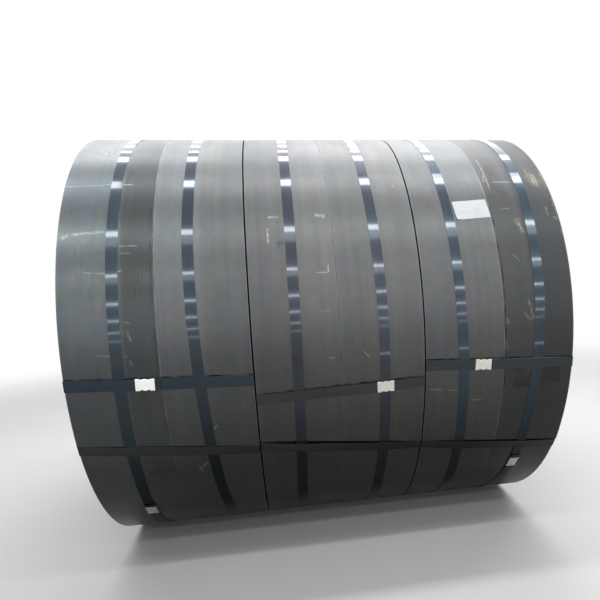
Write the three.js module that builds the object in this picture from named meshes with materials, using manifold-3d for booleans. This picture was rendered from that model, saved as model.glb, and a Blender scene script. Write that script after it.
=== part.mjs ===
// Six slit coils of hot-rolled steel strip, laid end to end on one axis and strapped as three pairs.
//
// Millimetres, +Z up. The coils' axis runs along X, the side with the strip tails faces -Y, and the
// bundle stands on Z = 0. Angles are in degrees about the axis: 0 at the front, 90 at the top.

import * as THREE from 'three';
import { mergeVertices } from 'three/addons/utils/BufferGeometryUtils.js';
import ManifoldModule from 'manifold-3d';

// ---------------------------------------------------------------- driving dimensions

// Slit coils
const COIL_RADIUS = 735;            // outer wrap, where its tail ends
const BORE_RADIUS = 305;            // left by the mandrel, at the head end of the strip
const STRIP_THICKNESS = 3;
const FULL_SLIT_WIDTH = 252;
const EDGE_SLIT_WIDTH = 230;        // the last coil is the edge cut
const JOINT_GAP = 0.4;              // between the two coils of a pair
const PAIR_GAP = 4.4;               // between neighbouring pairs
const HEAD_ANGLE = 62.5;            // where the strip starts in the bore
const TAIL_SPRUNG_ARC = 9;          // degrees over which a tail has sprung off the wrap below

// Steel strapping
const STRAP_WIDTH = 32;
const STRAP_THICKNESS = 1;
const STRAP_GAP = 0.4;              // between a strap and what it lies on
const STRAP_OVERLAP = 16;           // free end of a strap past its seal
const EYE_BEND_RADIUS = 1.6;        // inside of an eye strap's bend round a coil edge
const LAY_GAP = 0.3;                // between the two ends of a strap inside a seal

// Seals
const SEAL_LENGTH = 51;
const SEAL_WALL = 0.9;
const SEAL_PLAY = 0.3;              // between a seal and the straps it holds
const SEAL_LIP = 11;                // width of each lip folded under the straps
const CRIMP_LENGTH = 7;
const CRIMPS_PER_SIDE = 2;

// Paper label
const LABEL_WIDTH = 113;
const LABEL_HEIGHT = 71;
const LABEL_THICKNESS = 0.4;
const LABEL_GAP = 0.3;
const LABEL_ANGLE = 32.5;
const LABEL_TILT = 4;               // degrees, its right end up
const LABEL_TO_STRAP = 5.2;         // clear of its coil's belly strap, at its middle

// Facets
const FACET = 5;                    // degrees
const BOTTOM = -90;

// Each pair, from left to right. Angles and sizes in brackets are at its left and right face.
//   tail       angle of the strips' tails, cut out of square
//   lift       how far the tails have sprung off
//   frontEye   angle of the eye strap above the tails, and where along the pair its seal sits
//   tailSlot   distance from the tails down to the eye strap that holds them
//   backEye    angle of the eye strap on the far side
const PAIRS = [
  {
    widths: [FULL_SLIT_WIDTH, FULL_SLIT_WIDTH],
    tail: [-19.35, -23.55], lift: [1, 1.5],
    frontEye: [-5.0, -6.5], frontSeal: -42,
    tailSlot: [2, 2], tailSeal: 46,
    backEye: [182, 180.5], backSeal: 60,
  },
  {
    widths: [FULL_SLIT_WIDTH, FULL_SLIT_WIDTH],
    tail: [-22.0, -26.8], lift: [5, 4],
    frontEye: [-11.3, -9.9], frontSeal: 130,
    tailSlot: [14, 4], tailSeal: -58,
    backEye: [177, 178.5], backSeal: -48,
  },
  {
    widths: [FULL_SLIT_WIDTH, EDGE_SLIT_WIDTH],
    tail: [-26.9, -30.9], lift: [3, 3],
    frontEye: [-6.0, -7.6], frontSeal: -60,
    tailSlot: [4, 9], tailSeal: 52,
    backEye: [181, 183], backSeal: 44,
  },
];

// One belly strap for each coil. Its route is straight between places [angle, distance from the
// coil's middle], and seal is the angle of its seal.
const BELLY_STRAPS = [
  { route: [[90, 18], [0, 17], [-20, 15], [-48, 11]], seal: -46 },
  { route: [[90, -25], [60, -27], [26, -34], [8, -30], [-12, -20], [-30, -10], [-50, 4]], seal: -128 },
  { route: [[90, 3], [30, 1], [-10, -3], [-40, -5]], seal: -141 },
  { route: [[90, -9], [45, -4], [8, 4], [-20, 4], [-48, 2]], seal: -122 },
  { route: [[90, -18], [36, -14], [8, -11], [-12, -3], [-30, 2], [-58, 12]], seal: -134 },
  { route: [[90, 22], [56, 20], [30, 10], [8, 3], [-13, -8], [-28, -18], [-40, -14], [-54, -28]], seal: -40 },
];

// Turns that stand in from the rest on an open end: [share of the wall from the outside, set-in].
const LEFT_END_STEPS = [[0.09, 1.6], [0.28, 0.4], [0.62, 2.2], [0.88, 0.9]];
const RIGHT_END_STEPS = [[0.14, 0.8], [0.4, 2.4], [0.73, 1.2], [0.92, 2.8]];

// ---------------------------------------------------------------- materials

function steel(name, color, roughness, metalness) {
  return new THREE.MeshStandardMaterial({ name, color, roughness, metalness });
}

const COIL_COLORS = ['#62666a', '#6a6f74', '#606163', '#646566', '#5f656b', '#57585a'];
const strapSteel = () => steel('blued strap', '#232c38', 0.32, 0.85);
const sealSteel = () => steel('zinc seal', '#c9c8c2', 0.42, 0.75);
const labelPaper = () => steel('label paper', '#e4e4e2', 0.8, 0);

// ---------------------------------------------------------------- geometry tools

const degrees = THREE.MathUtils.radToDeg;
const radians = THREE.MathUtils.degToRad;
const lerp = THREE.MathUtils.lerp;

/** Direction away from the axis at an angle. */
function outward(angle) {
  return new THREE.Vector3(0, -Math.cos(radians(angle)), Math.sin(radians(angle)));
}

function pointAt(x, angle, radius) {
  return outward(angle).multiplyScalar(radius).setX(x);
}

/** The facet edges: every coil and strap has a whole facet flat at the very bottom. */
function nextFacetEdge(angle) {
  const first = BOTTOM + FACET / 2;
  return first + Math.ceil((angle - first) / FACET) * FACET;
}

/** Collects the faces of one closed solid. */
class Shell {
  constructor() {
    this.corners = [];
  }

  triangle(a, b, c) {
    for (const corner of [a, b, c]) this.corners.push(corner.x, corner.y, corner.z);
  }

  /** Four corners in order, split along the shorter diagonal. */
  quad(a, b, c, d) {
    if (a.distanceTo(c) <= b.distanceTo(d)) {
      this.triangle(a, b, c);
      this.triangle(a, c, d);
    } else {
      this.triangle(a, b, d);
      this.triangle(b, c, d);
    }
  }

  /** A wall round the axis between two loops of as many points, left one first. */
  wall(left, right, facesOut) {
    left.forEach((corner, i) => {
      const next = (i + 1) % left.length;
      if (facesOut) this.quad(corner, right[i], right[next], left[next]);
      else this.quad(corner, left[next], right[next], right[i]);
    });
  }

  /** A flat ring between two loops in one plane across the axis, facing -X or +X. */
  ring(outer, inner, side) {
    const flat = (loop) => loop.map((p) => new THREE.Vector2(p.y, p.z));
    const all = [...outer, ...inner];
    for (const [a, b, c] of THREE.ShapeUtils.triangulateShape(flat(outer), [flat(inner)])) {
      const turn = THREE.ShapeUtils.area(flat([all[a], all[b], all[c]]));
      if (turn * side > 0) this.triangle(all[a], all[b], all[c]);
      else this.triangle(all[a], all[c], all[b]);
    }
  }

  geometry() {
    const geometry = new THREE.BufferGeometry();
    geometry.setAttribute('position', new THREE.Float32BufferAttribute(this.corners, 3));
    const merged = mergeVertices(geometry);
    merged.computeVertexNormals();
    return merged;
  }
}

/** A closed band through its cross-sections, each four corners in turn. */
function band(sections) {
  const shell = new Shell();
  for (let i = 1; i < sections.length; i += 1) {
    for (let side = 0; side < 4; side += 1) {
      const next = (side + 1) % 4;
      shell.quad(sections[i - 1][side], sections[i - 1][next], sections[i][next], sections[i][side]);
    }
  }
  const start = sections[0];
  const end = sections[sections.length - 1];
  shell.quad(start[0], start[3], start[2], start[1]);
  shell.quad(end[0], end[1], end[2], end[3]);
  return shell.geometry();
}

/** A flat band along a path of { point, normal }: its underside runs through the points. */
function ribbon(path, width, thickness) {
  return band(path.map(({ point, normal }, i) => {
    const before = path[Math.max(i - 1, 0)].point;
    const after = path[Math.min(i + 1, path.length - 1)].point;
    const along = after.clone().sub(before).normalize();
    const across = normal.clone().cross(along).setLength(width / 2);
    const rise = normal.clone().setLength(thickness);
    const left = point.clone().sub(across);
    const right = point.clone().add(across);
    return [left, right, right.clone().add(rise), left.clone().add(rise)];
  }));
}

// ---------------------------------------------------------------- where the coils lie

/** Lays the coils out along X and gives each its faces, its pair and its share of the pair's data. */
function layOutCoils() {
  const coils = [];
  let x = 0;
  PAIRS.forEach((pair, index) => {
    if (index > 0) x += PAIR_GAP;
    pair.left = x;
    pair.widths.forEach((width, place) => {
      if (place > 0) x += JOINT_GAP;
      coils.push({ pair, left: x, right: x + width });
      x += width;
    });
    pair.right = x;
  });
  for (const span of [...coils, ...PAIRS]) {
    span.left -= x / 2;
    span.right -= x / 2;
    span.middle = (span.left + span.right) / 2;
  }
  return coils;
}

const coils = layOutCoils();

/** A value given at a pair's left and right face, at x between them. */
function across(pair, [left, right], x) {
  const share = THREE.MathUtils.clamp((x - pair.left) / (pair.right - pair.left), 0, 1);
  return lerp(left, right, share);
}

// ---------------------------------------------------------------- slit coils

/** How far the outer wrap stands off at an angle above its tail. */
function sprung(fromTail, lift) {
  const free = Math.max(0, 1 - fromTail / TAIL_SPRUNG_ARC);
  return lift * free * free;
}

/** Radius of the outer surface, a spiral that loses one strip thickness a turn. */
function wrapRadius(fromTail, lift) {
  return COIL_RADIUS - STRIP_THICKNESS * fromTail / 360 + sprung(fromTail, lift);
}

const highestTail = Math.max(...PAIRS.flatMap((pair) => pair.tail));
const lowestTail = Math.min(...PAIRS.flatMap((pair) => pair.tail));
const facetsStart = nextFacetEdge(highestTail + TAIL_SPRUNG_ARC + FACET);
const facetsEnd = nextFacetEdge(lowestTail + 360 - 5 * FACET);

/** [angle, radius] of the outer surface at x: up from the tail and once round. */
function outerSurface(pair, x) {
  const tail = across(pair, pair.tail, x);
  const lift = across(pair, pair.lift, x);
  const nip = tail + TAIL_SPRUNG_ARC;
  const angles = [];
  for (let step = 0; step < 3; step += 1) angles.push(lerp(tail, nip, step / 3));
  for (let step = 0; step < 4; step += 1) angles.push(lerp(nip, facetsStart, step / 4));
  for (let angle = facetsStart; angle < facetsEnd; angle += FACET) angles.push(angle);
  for (let step = 0; step <= 7; step += 1) angles.push(lerp(facetsEnd, tail + 360, step / 7));
  return angles.map((angle) => [angle, wrapRadius(angle - tail, lift)]);
}

/** The whole outline of a coil at x: its outer surface, then in under the sprung tail and back. */
function coilOutline(pair, x) {
  const tail = across(pair, pair.tail, x);
  const lift = across(pair, pair.lift, x);
  const under = [];
  for (const share of [1 / 3, 2 / 3]) {
    const turned = 360 + share * TAIL_SPRUNG_ARC;
    under.push([tail + turned, wrapRadius(turned, lift)]);
  }
  for (const share of [1, 2 / 3, 1 / 3, 0]) {
    const turned = share * TAIL_SPRUNG_ARC;
    under.push([tail + turned, wrapRadius(turned, lift) - STRIP_THICKNESS]);
  }
  return [...outerSurface(pair, x), ...under];
}

function outlineLoop(pair, x, planeX) {
  return coilOutline(pair, x).map(([angle, radius]) => pointAt(planeX, angle, radius));
}

/** Round the bore: the strip's head end leaves a step of its own thickness. */
function boreLoop(x) {
  const loop = [];
  for (let turned = 0; turned <= 360; turned += FACET) {
    const radius = BORE_RADIUS + STRIP_THICKNESS * (1 - turned / 360);
    loop.push(pointAt(x, HEAD_ANGLE + turned, radius));
  }
  return loop;
}

function circleLoop(x, radius) {
  const loop = [];
  for (let turned = 0; turned < 360; turned += FACET) {
    loop.push(pointAt(x, HEAD_ANGLE + turned, radius));
  }
  return loop;
}

/** Closes one end of a coil, turns set in or out by steps, and returns where the bore starts. */
function addEnd(shell, pair, x, side, steps) {
  let outer = outlineLoop(pair, x, x);
  let plane = x;
  for (const [share, setIn] of steps) {
    const radius = lerp(COIL_RADIUS, BORE_RADIUS, share);
    const edge = circleLoop(plane, radius);
    shell.ring(outer, edge, side);
    const nextPlane = x - side * setIn;
    outer = circleLoop(nextPlane, radius);
    const risesOut = side * nextPlane > side * plane;
    if (plane < nextPlane) shell.wall(edge, outer, risesOut);
    else shell.wall(outer, edge, risesOut);
    plane = nextPlane;
  }
  shell.ring(outer, boreLoop(plane), side);
  return plane;
}

function slitCoil({ pair, left, right }, leftSteps, rightSteps) {
  const shell = new Shell();
  const boreLeft = addEnd(shell, pair, left, -1, leftSteps);
  const boreRight = addEnd(shell, pair, right, 1, rightSteps);
  shell.wall(outlineLoop(pair, left, left), outlineLoop(pair, right, right), true);
  shell.wall(boreLoop(boreLeft), boreLoop(boreRight), false);
  return shell.geometry();
}

// ---------------------------------------------------------------- seals

const { Manifold, Mesh: ManifoldMesh } = await (async () => {
  const library = await ManifoldModule();
  library.setup();
  return library;
})();

function toSolid(geometry) {
  const bare = geometry.clone();
  bare.deleteAttribute('normal');
  bare.deleteAttribute('uv');
  const merged = mergeVertices(bare);
  return new Manifold(new ManifoldMesh({
    numProp: 3,
    vertProperties: new Float32Array(merged.attributes.position.array),
    triVerts: new Uint32Array(merged.index.array),
  }));
}

function fromSolid(solid) {
  const mesh = solid.getMesh();
  const geometry = new THREE.BufferGeometry();
  geometry.setAttribute('position', new THREE.BufferAttribute(mesh.vertProperties, 3));
  geometry.setIndex(new THREE.BufferAttribute(mesh.triVerts, 1));
  geometry.computeVertexNormals();
  return geometry;
}

const LAY = STRAP_THICKNESS + LAY_GAP;                     // height of one strap end over the other
const sealHalfInside = STRAP_WIDTH / 2 + SEAL_PLAY;
const sealHalfWidth = sealHalfInside + SEAL_WALL;
const sealFloor = -SEAL_PLAY - SEAL_WALL;                  // below the lower strap end
const sealCeiling = LAY + STRAP_THICKNESS + SEAL_PLAY;
const sealUnder = STRAP_GAP - sealFloor;                   // strap's height over steel at a seal

/** A folded sleeve seen along the strap: a cover with both lips turned in underneath. */
function sealSection() {
  const bevel = SEAL_WALL / 2;
  const lipEdge = sealHalfInside - SEAL_LIP;
  const top = sealCeiling + SEAL_WALL;
  const half = [
    [lipEdge, sealFloor],
    [sealHalfWidth, sealFloor],
    [sealHalfWidth, top - bevel],
    [sealHalfWidth - bevel, top],
  ];
  const inside = [
    [sealHalfInside, sealCeiling],
    [sealHalfInside, -SEAL_PLAY],
    [lipEdge, -SEAL_PLAY],
  ];
  const mirrored = (points) => points.map(([x, y]) => [-x, y]).reverse();
  const outline = [...half, ...mirrored(half), ...mirrored(inside), ...inside];
  return new THREE.Shape(outline.map(([x, y]) => new THREE.Vector2(x, y)));
}

/** A seal about its middle: strap along Z, straps' underside at Y = 0. */
function sealGeometry() {
  const sleeve = new THREE.ExtrudeGeometry(sealSection(), { depth: SEAL_LENGTH, bevelEnabled: false });
  sleeve.translate(0, 0, -SEAL_LENGTH / 2);
  let solid = toSolid(sleeve);
  const depth = SEAL_WALL + SEAL_PLAY;
  const height = 3 * (sealCeiling + SEAL_WALL - sealFloor);
  for (const side of [-1, 1]) {
    for (let crimp = 1; crimp <= CRIMPS_PER_SIDE; crimp += 1) {
      const cutter = new THREE.BoxGeometry(depth, height, CRIMP_LENGTH);
      const along = SEAL_LENGTH * (crimp / (CRIMPS_PER_SIDE + 1) - 0.5);
      cutter.translate(side * (sealHalfWidth + depth / 2 - SEAL_WALL - SEAL_PLAY / 2), 0, along);
      solid = solid.subtract(toSolid(cutter));
    }
  }
  return fromSolid(solid);
}

/** Puts a seal over the flat stretch of strap between two stations of its path. */
function placeSeal(mesh, from, to) {
  const along = to.point.clone().sub(from.point).normalize();
  const normal = from.normal.clone().add(to.normal);
  const acrossStrap = normal.clone().cross(along).normalize();
  normal.crossVectors(along, acrossStrap);
  mesh.quaternion.setFromRotationMatrix(new THREE.Matrix4().makeBasis(acrossStrap, normal, along));
  mesh.position.copy(from.point).lerp(to.point, 0.5);
}

// ---------------------------------------------------------------- belly straps

/** Distance of a belly strap from its coil's middle at an angle. */
function routeOffset(route, angle) {
  const start = route[0][0];
  const down = THREE.MathUtils.euclideanModulo(start - angle, 360);
  const places = [...route, [start - 360, route[0][1]]];
  const next = places.findIndex(([place]) => start - place >= down);
  if (next <= 0) return route[0][1];
  const [fromAngle, from] = places[next - 1];
  const [toAngle, to] = places[next];
  return lerp(from, to, (down - (start - fromAngle)) / (fromAngle - toAngle));
}

/** Points [y, z] of the taut loop round a cloud of points: their convex outline. */
function tautLoop(points) {
  const sorted = [...points].sort((p, q) => p[0] - q[0] || p[1] - q[1]);
  const turn = (o, p, q) => (p[0] - o[0]) * (q[1] - o[1]) - (p[1] - o[1]) * (q[0] - o[0]);
  const chain = (list) => {
    const kept = [];
    for (const point of list) {
      while (kept.length > 1 && turn(kept[kept.length - 2], kept[kept.length - 1], point) <= 0) {
        kept.pop();
      }
      kept.push(point);
    }
    return kept.slice(0, -1);
  };
  return [...chain(sorted), ...chain(sorted.reverse())];
}

/** The two stations that keep a belly strap straight inside its seal, as [angle, radius]. */
function sealFlat(pair, x, sealAngle) {
  const fromTail = THREE.MathUtils.euclideanModulo(sealAngle - across(pair, pair.tail, x), 360);
  const distance = wrapRadius(fromTail, 0) + sealUnder;
  const half = Math.atan2(SEAL_LENGTH / 2 + 2, distance);
  return [-1, 1].map((side) => [sealAngle + side * degrees(half), distance / Math.cos(half)]);
}

/** Stations of the taut loop a belly strap makes, in turn upwards from its seal. */
function bellyLoop({ pair, middle }, xAt, seal) {
  const bearing = sealFlat(pair, xAt(seal), seal);
  const tailX = xAt(across(pair, pair.tail, middle));
  const bears = ([angle, radius]) => bearing.push([angle, radius + STRAP_GAP]);
  outerSurface(pair, tailX).forEach(bears);
  for (const edge of [-0.5, 0.5]) bears(outerSurface(pair, tailX + edge * STRAP_WIDTH)[0]);
  const points = bearing.map(([angle, radius]) => pointAt(0, angle, radius));
  const turned = (station) => THREE.MathUtils.euclideanModulo(station.angle - seal, 360);
  return tautLoop(points.map(({ y, z }) => [y, z]))
    .map(([y, z]) => ({ angle: degrees(Math.atan2(z, -y)), radius: Math.hypot(y, z) }))
    .sort((p, q) => turned(p) - turned(q));
}

/** A belly strap's path: from its lower end through the seal, once round and over itself. */
function bellyPath(coil, { route, seal }) {
  const xAt = (angle) => coil.middle + routeOffset(route, angle);
  const loop = bellyLoop(coil, xAt, seal);
  const station = ({ angle, radius }, raised = 0) => ({
    point: pointAt(xAt(angle), angle, radius + raised),
    normal: outward(angle),
  });
  const beyond = (corner, neighbour, raised) => {
    const from = station(corner, raised);
    const towards = station(neighbour, raised);
    const point = towards.point.clone().sub(from.point).setLength(STRAP_OVERLAP).add(from.point);
    return { point, normal: from.normal };
  };
  const [afterSeal, next] = loop;
  const beforeSeal = loop[loop.length - 1];
  const previous = loop[loop.length - 2];
  return [
    beyond(beforeSeal, previous, 0),
    station(beforeSeal),
    ...loop.slice(0, -1).map((corner) => station(corner)),
    beyond(beforeSeal, previous, LAY),
    station(beforeSeal, LAY),
    station(afterSeal, LAY),
    beyond(afterSeal, next, LAY),
  ];
}

// ---------------------------------------------------------------- eye straps

const beltTop = STRAP_GAP + STRAP_THICKNESS;
const faceClear = STRAP_GAP;

/** Distance from the axis to a flat strap that lies in the bore, clear of its lips' thickness. */
const boreRun = Math.sqrt(((BORE_RADIUS * Math.cos(radians(FACET / 2)) - STRAP_GAP) ** 2)
  - sealHalfWidth ** 2) - sealUnder + STRAP_GAP;

/**
 * An eye strap's path through the bore and back over the outside, as { path, seal }.
 * angles: its place at the pair's left and right face. height: of its outside run over the axis.
 */
function eyePath(pair, angles, height, sealSide, sealOffset) {
  const left = pair.left - faceClear;
  const right = pair.right + faceClear;
  const bend = EYE_BEND_RADIUS;
  const station = (x, radius, outX, outR) => {
    const angle = across(pair, angles, x);
    const normal = outward(angle).multiplyScalar(outR);
    normal.x = outX;
    return { point: pointAt(x, angle, radius), normal: normal.normalize() };
  };
  // Corner bends, each turning clockwise seen from the front: right over the top, back in the bore.
  const corner = (x, radius, startTurn) => [0, 30, 60, 90].map((turn) => {
    const outX = Math.sin(radians(startTurn + turn));
    const outR = Math.cos(radians(startTurn + turn));
    return station(x + bend * outX, radius + bend * outR, outX, outR);
  });
  const run = (from, to, radius, outR) => [1, 2, 3].map(
    (step) => station(lerp(from, to, step / 4), radius, 0, outR),
  );
  const outer = height - bend;
  const inner = boreRun + bend;
  const topRight = corner(right - bend, outer, 0);
  const bottomRight = corner(right - bend, inner, 90);
  const bottomLeft = corner(left + bend, inner, 180);
  const topLeft = corner(left + bend, outer, 270);

  const inBore = sealSide === 'bore';
  const direction = inBore ? -1 : 1;                    // the way the strap runs through its seal
  const x = pair.middle + sealOffset;
  const reach = SEAL_LENGTH / 2 + STRAP_OVERLAP;
  const at = (along, raised) => station(x + direction * along,
    inBore ? boreRun - raised : height + raised, 0, direction);
  const start = [at(-reach, 0), at(-SEAL_LENGTH / 2, 0), at(SEAL_LENGTH / 2, 0)];
  const end = [
    at(-2 * reach, 0), at(-reach - LAY, LAY), at(-SEAL_LENGTH / 2, LAY),
    at(SEAL_LENGTH / 2, LAY), at(reach, LAY),
  ];
  const bore = run(right - bend, left + bend, boreRun, -1);
  const outside = run(left + bend, right - bend, height, 1);
  const path = inBore
    ? [...start, ...bottomLeft, ...topLeft, ...outside, ...topRight, ...bottomRight, ...end]
    : [...start, ...topRight, ...bottomRight, ...bore, ...bottomLeft, ...topLeft, ...end];
  return path;
}

// ---------------------------------------------------------------- label

/** Radius of a coil's facets at an angle away from its tail. */
function facetRadius(pair, x, angle) {
  const low = nextFacetEdge(angle) - FACET;
  const tail = across(pair, pair.tail, x);
  const apothem = (edge) => wrapRadius(edge - tail, 0) * Math.cos(radians(FACET / 2));
  const radius = lerp(apothem(low), apothem(low + FACET), (angle - low) / FACET);
  return radius / Math.cos(radians(angle - low - FACET / 2));
}

/** The label's cross-sections: its foot, where it folds over a facet edge, and its head. */
function labelSections(coil, { route }) {
  const tilt = radians(LABEL_TILT);
  const spanned = LABEL_WIDTH * Math.cos(tilt) + LABEL_HEIGHT * Math.sin(tilt);
  const strapEdge = coil.middle + routeOffset(route, LABEL_ANGLE) + STRAP_WIDTH / 2;
  const middle = strapEdge + LABEL_TO_STRAP + spanned / 2;
  const corner = (side, up, raised) => {
    const x = middle + side * Math.cos(tilt) - up * Math.sin(tilt);
    const angle = LABEL_ANGLE + degrees((side * Math.sin(tilt) + up * Math.cos(tilt)) / COIL_RADIUS);
    return pointAt(x, angle, facetRadius(coil.pair, x, angle) + LABEL_GAP + raised);
  };
  const section = (upAt) => {
    const sides = [LABEL_WIDTH / 2, -LABEL_WIDTH / 2];
    const [right, left] = sides.map((side) => (raised) => corner(side, upAt(side), raised));
    return [right(0), left(0), left(LABEL_THICKNESS), right(LABEL_THICKNESS)];
  };
  const folds = [];
  const reach = degrees((LABEL_HEIGHT * Math.cos(tilt) - LABEL_WIDTH * Math.sin(tilt)) / 2 / COIL_RADIUS);
  for (let edge = nextFacetEdge(LABEL_ANGLE - reach); edge < LABEL_ANGLE + reach; edge += FACET) {
    const rise = radians(edge - LABEL_ANGLE) * COIL_RADIUS;
    folds.push(section((side) => (rise - side * Math.sin(tilt)) / Math.cos(tilt)));
  }
  return [section(() => -LABEL_HEIGHT / 2), ...folds, section(() => LABEL_HEIGHT / 2)];
}

// ---------------------------------------------------------------- the bundle

const bundle = new THREE.Group();

function add(name, geometry, material) {
  const mesh = new THREE.Mesh(geometry, material);
  mesh.name = name;
  bundle.add(mesh);
  return mesh;
}

coils.forEach((coil, index) => {
  const leftSteps = index === 0 ? LEFT_END_STEPS : [];
  const rightSteps = index === coils.length - 1 ? RIGHT_END_STEPS : [];
  const finish = steel('hot-rolled steel', COIL_COLORS[index], 0.45, 0.6);
  add(`slit_coil_${index + 1}`, slitCoil(coil, leftSteps, rightSteps), finish);
});

coils.forEach((coil, index) => {
  const path = bellyPath(coil, BELLY_STRAPS[index]);
  add(`belly_strap_${index + 1}`, ribbon(path, STRAP_WIDTH, STRAP_THICKNESS), strapSteel());
  placeSeal(add(`belly_seal_${index + 1}`, sealGeometry(), sealSteel()), path[1], path[2]);
});

PAIRS.forEach((pair, index) => {
  const clearOfBelts = COIL_RADIUS + beltTop + sealUnder;
  const held = pair.tailSlot.map((slot, end) => pair.tail[end] - degrees((slot + STRAP_WIDTH / 2) / COIL_RADIUS));
  const straps = [
    ['front', pair.frontEye, clearOfBelts, 'outside', pair.frontSeal],
    ['tail', held, COIL_RADIUS + Math.max(...pair.lift) + beltTop + STRAP_GAP, 'bore', pair.tailSeal],
    ['back', pair.backEye, clearOfBelts, 'outside', pair.backSeal],
  ];
  for (const [place, angles, height, sealSide, sealOffset] of straps) {
    const path = eyePath(pair, angles, height, sealSide, sealOffset);
    add(`${place}_eye_strap_${index + 1}`, ribbon(path, STRAP_WIDTH, STRAP_THICKNESS), strapSteel());
    placeSeal(add(`${place}_eye_seal_${index + 1}`, sealGeometry(), sealSteel()), path[1], path[2]);
  }
});

add('label', band(labelSections(coils[4], BELLY_STRAPS[4])), labelPaper());

bundle.position.z = -new THREE.Box3().setFromObject(bundle).min.z;

export default bundle;
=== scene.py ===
"""Dresses a bundle of six slit coils of hot-rolled steel strip, laid end to end and strapped in pairs.

The coils' axis runs along X, the side with the strips' tails faces -Y, and the floor is Z = 0. Sizes are
in millimetres and turn into metres when a mesh is made. Angles are in degrees about the axis: 0 at the
front, 90 at the top.
"""

import logging
import math
from dataclasses import dataclass, field
from enum import Enum
from functools import cache, reduce
from typing import Optional

import bpy
import numpy as np
from mathutils import Euler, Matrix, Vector
from mathutils.geometry import convex_hull_2d, delaunay_2d_cdt


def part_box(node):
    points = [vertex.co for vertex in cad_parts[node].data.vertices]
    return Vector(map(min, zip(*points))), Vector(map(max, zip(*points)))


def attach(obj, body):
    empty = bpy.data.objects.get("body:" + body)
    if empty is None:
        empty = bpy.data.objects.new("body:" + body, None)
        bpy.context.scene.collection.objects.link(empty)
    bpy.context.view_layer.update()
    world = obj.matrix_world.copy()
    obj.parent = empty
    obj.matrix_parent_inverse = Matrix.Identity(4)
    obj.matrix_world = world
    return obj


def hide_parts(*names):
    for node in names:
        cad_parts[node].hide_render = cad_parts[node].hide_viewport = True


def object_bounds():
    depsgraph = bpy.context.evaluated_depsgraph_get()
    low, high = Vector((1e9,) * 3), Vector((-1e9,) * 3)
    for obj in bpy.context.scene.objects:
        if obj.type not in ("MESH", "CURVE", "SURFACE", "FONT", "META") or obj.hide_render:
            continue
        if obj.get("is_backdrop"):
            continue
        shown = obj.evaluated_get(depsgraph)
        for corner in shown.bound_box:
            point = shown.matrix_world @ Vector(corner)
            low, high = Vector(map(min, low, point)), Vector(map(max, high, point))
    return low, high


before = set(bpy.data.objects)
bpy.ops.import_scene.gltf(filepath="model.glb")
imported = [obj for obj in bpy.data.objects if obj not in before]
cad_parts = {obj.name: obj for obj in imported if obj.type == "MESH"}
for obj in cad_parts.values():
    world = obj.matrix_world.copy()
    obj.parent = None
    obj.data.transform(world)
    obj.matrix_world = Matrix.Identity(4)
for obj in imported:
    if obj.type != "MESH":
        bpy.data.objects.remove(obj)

LOG = logging.getLogger("slit_coils")

MM = 0.001

Ends = tuple[float, float]  # a value at a pair's left and right face
Place = tuple[float, float]  # an angle, and a distance along the axis
Spot = tuple[float, float]  # a distance along the axis, and an angle
Loops = tuple[np.ndarray, np.ndarray]  # numbers of the points round a coil's barrel and round its bore
Station = tuple[np.ndarray, np.ndarray]  # a point of a strap's path, and the strap's normal there
Socket = bpy.types.NodeSocket

COIL_RADIUS = 735.0
BORE_RADIUS = 305.0
STRIP_THICKNESS = 3.0
HEAD_ANGLE = 62.5  # where the strip starts in the bore
SPRUNG_ARC = 9.0  # degrees over which a tail has sprung off the wrap below
AXIS_HEIGHT = 733.3  # over the floor, with the straps under the coils

STRAP_WIDTH = 32.0
STRAP_THICKNESS = 1.0
STRAP_GAP = 0.4  # between a strap and what it lies on
STRAP_OVERLAP = 16.0  # free end of a strap past its seal
STRAP_SHARP = 30.0  # least angle of a strap's hard edges
LAY = 1.3  # height of one strap end over the other in a seal
SEAL_LENGTH = 51.0
CRIMP_PLACE = SEAL_LENGTH / 6  # of both crimps, from the seal's middle
SEAL_SEAT = SEAL_LENGTH / 2 + 2.0  # half the flat stretch of strap at a seal
SEAL_UNDER = 1.6  # a strap's height over the steel where it goes through a seal

SHEARED = 1  # place of the sheared edge among a coil's materials
WANDER_SEED, GAP_SEED = 40, 70  # of how unevenly an open end's turns stand in, and of its loose turns

NOISE_SPAN = (0.3, 0.7)  # nearly all the values of a noise lie between these
NOISE_DRIFT = (1.0, 1.7, 0.6)  # which way a seed moves a noise
WAVER = 0.004  # metres by which a mark strays from a straight line


# ---------------- geometry helpers


def on_axis(x: np.ndarray, angle: np.ndarray, radius: np.ndarray) -> np.ndarray:
    """Places points about the coils' axis.

    Args:
        x: Distance along the axis.
        angle: Angle about the axis, in degrees.
        radius: Distance from the axis.

    Returns:
        An array of points, X, Y and Z last, in millimetres.
    """
    turn = np.radians(angle)
    x, y, z = np.broadcast_arrays(x, -radius * np.cos(turn), AXIS_HEIGHT + radius * np.sin(turn))
    return np.stack([x, y, z], axis=-1)


def outward(angle: np.ndarray) -> np.ndarray:
    """Returns the direction away from the axis at an angle."""
    return on_axis(0.0, angle, 1.0) - np.array([0.0, 0.0, AXIS_HEIGHT])


def unit(vectors: np.ndarray) -> np.ndarray:
    """Returns vectors scaled to length one."""
    return vectors / np.linalg.norm(vectors, axis=-1, keepdims=True)


def taut(points: np.ndarray) -> np.ndarray:
    """Returns the corners of the taut band round a cloud of points in a plane, in turn."""
    return points[convex_hull_2d([Vector(point) for point in points])]


def cells(grid: np.ndarray, flip: bool = False) -> np.ndarray:
    """Finds the four corners of each cell of a grid.

    Args:
        grid: What is at each point, in rows and columns.
        flip: Whether the corners go round the other way.

    Returns:
        Rows of four corners, one row a cell.
    """
    quads = np.stack([grid[:-1, :-1], grid[1:, :-1], grid[1:, 1:], grid[:-1, 1:]], axis=2)
    quads = quads[:, :, ::-1] if flip else quads
    return quads.reshape((-1,) + quads.shape[2:])


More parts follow.
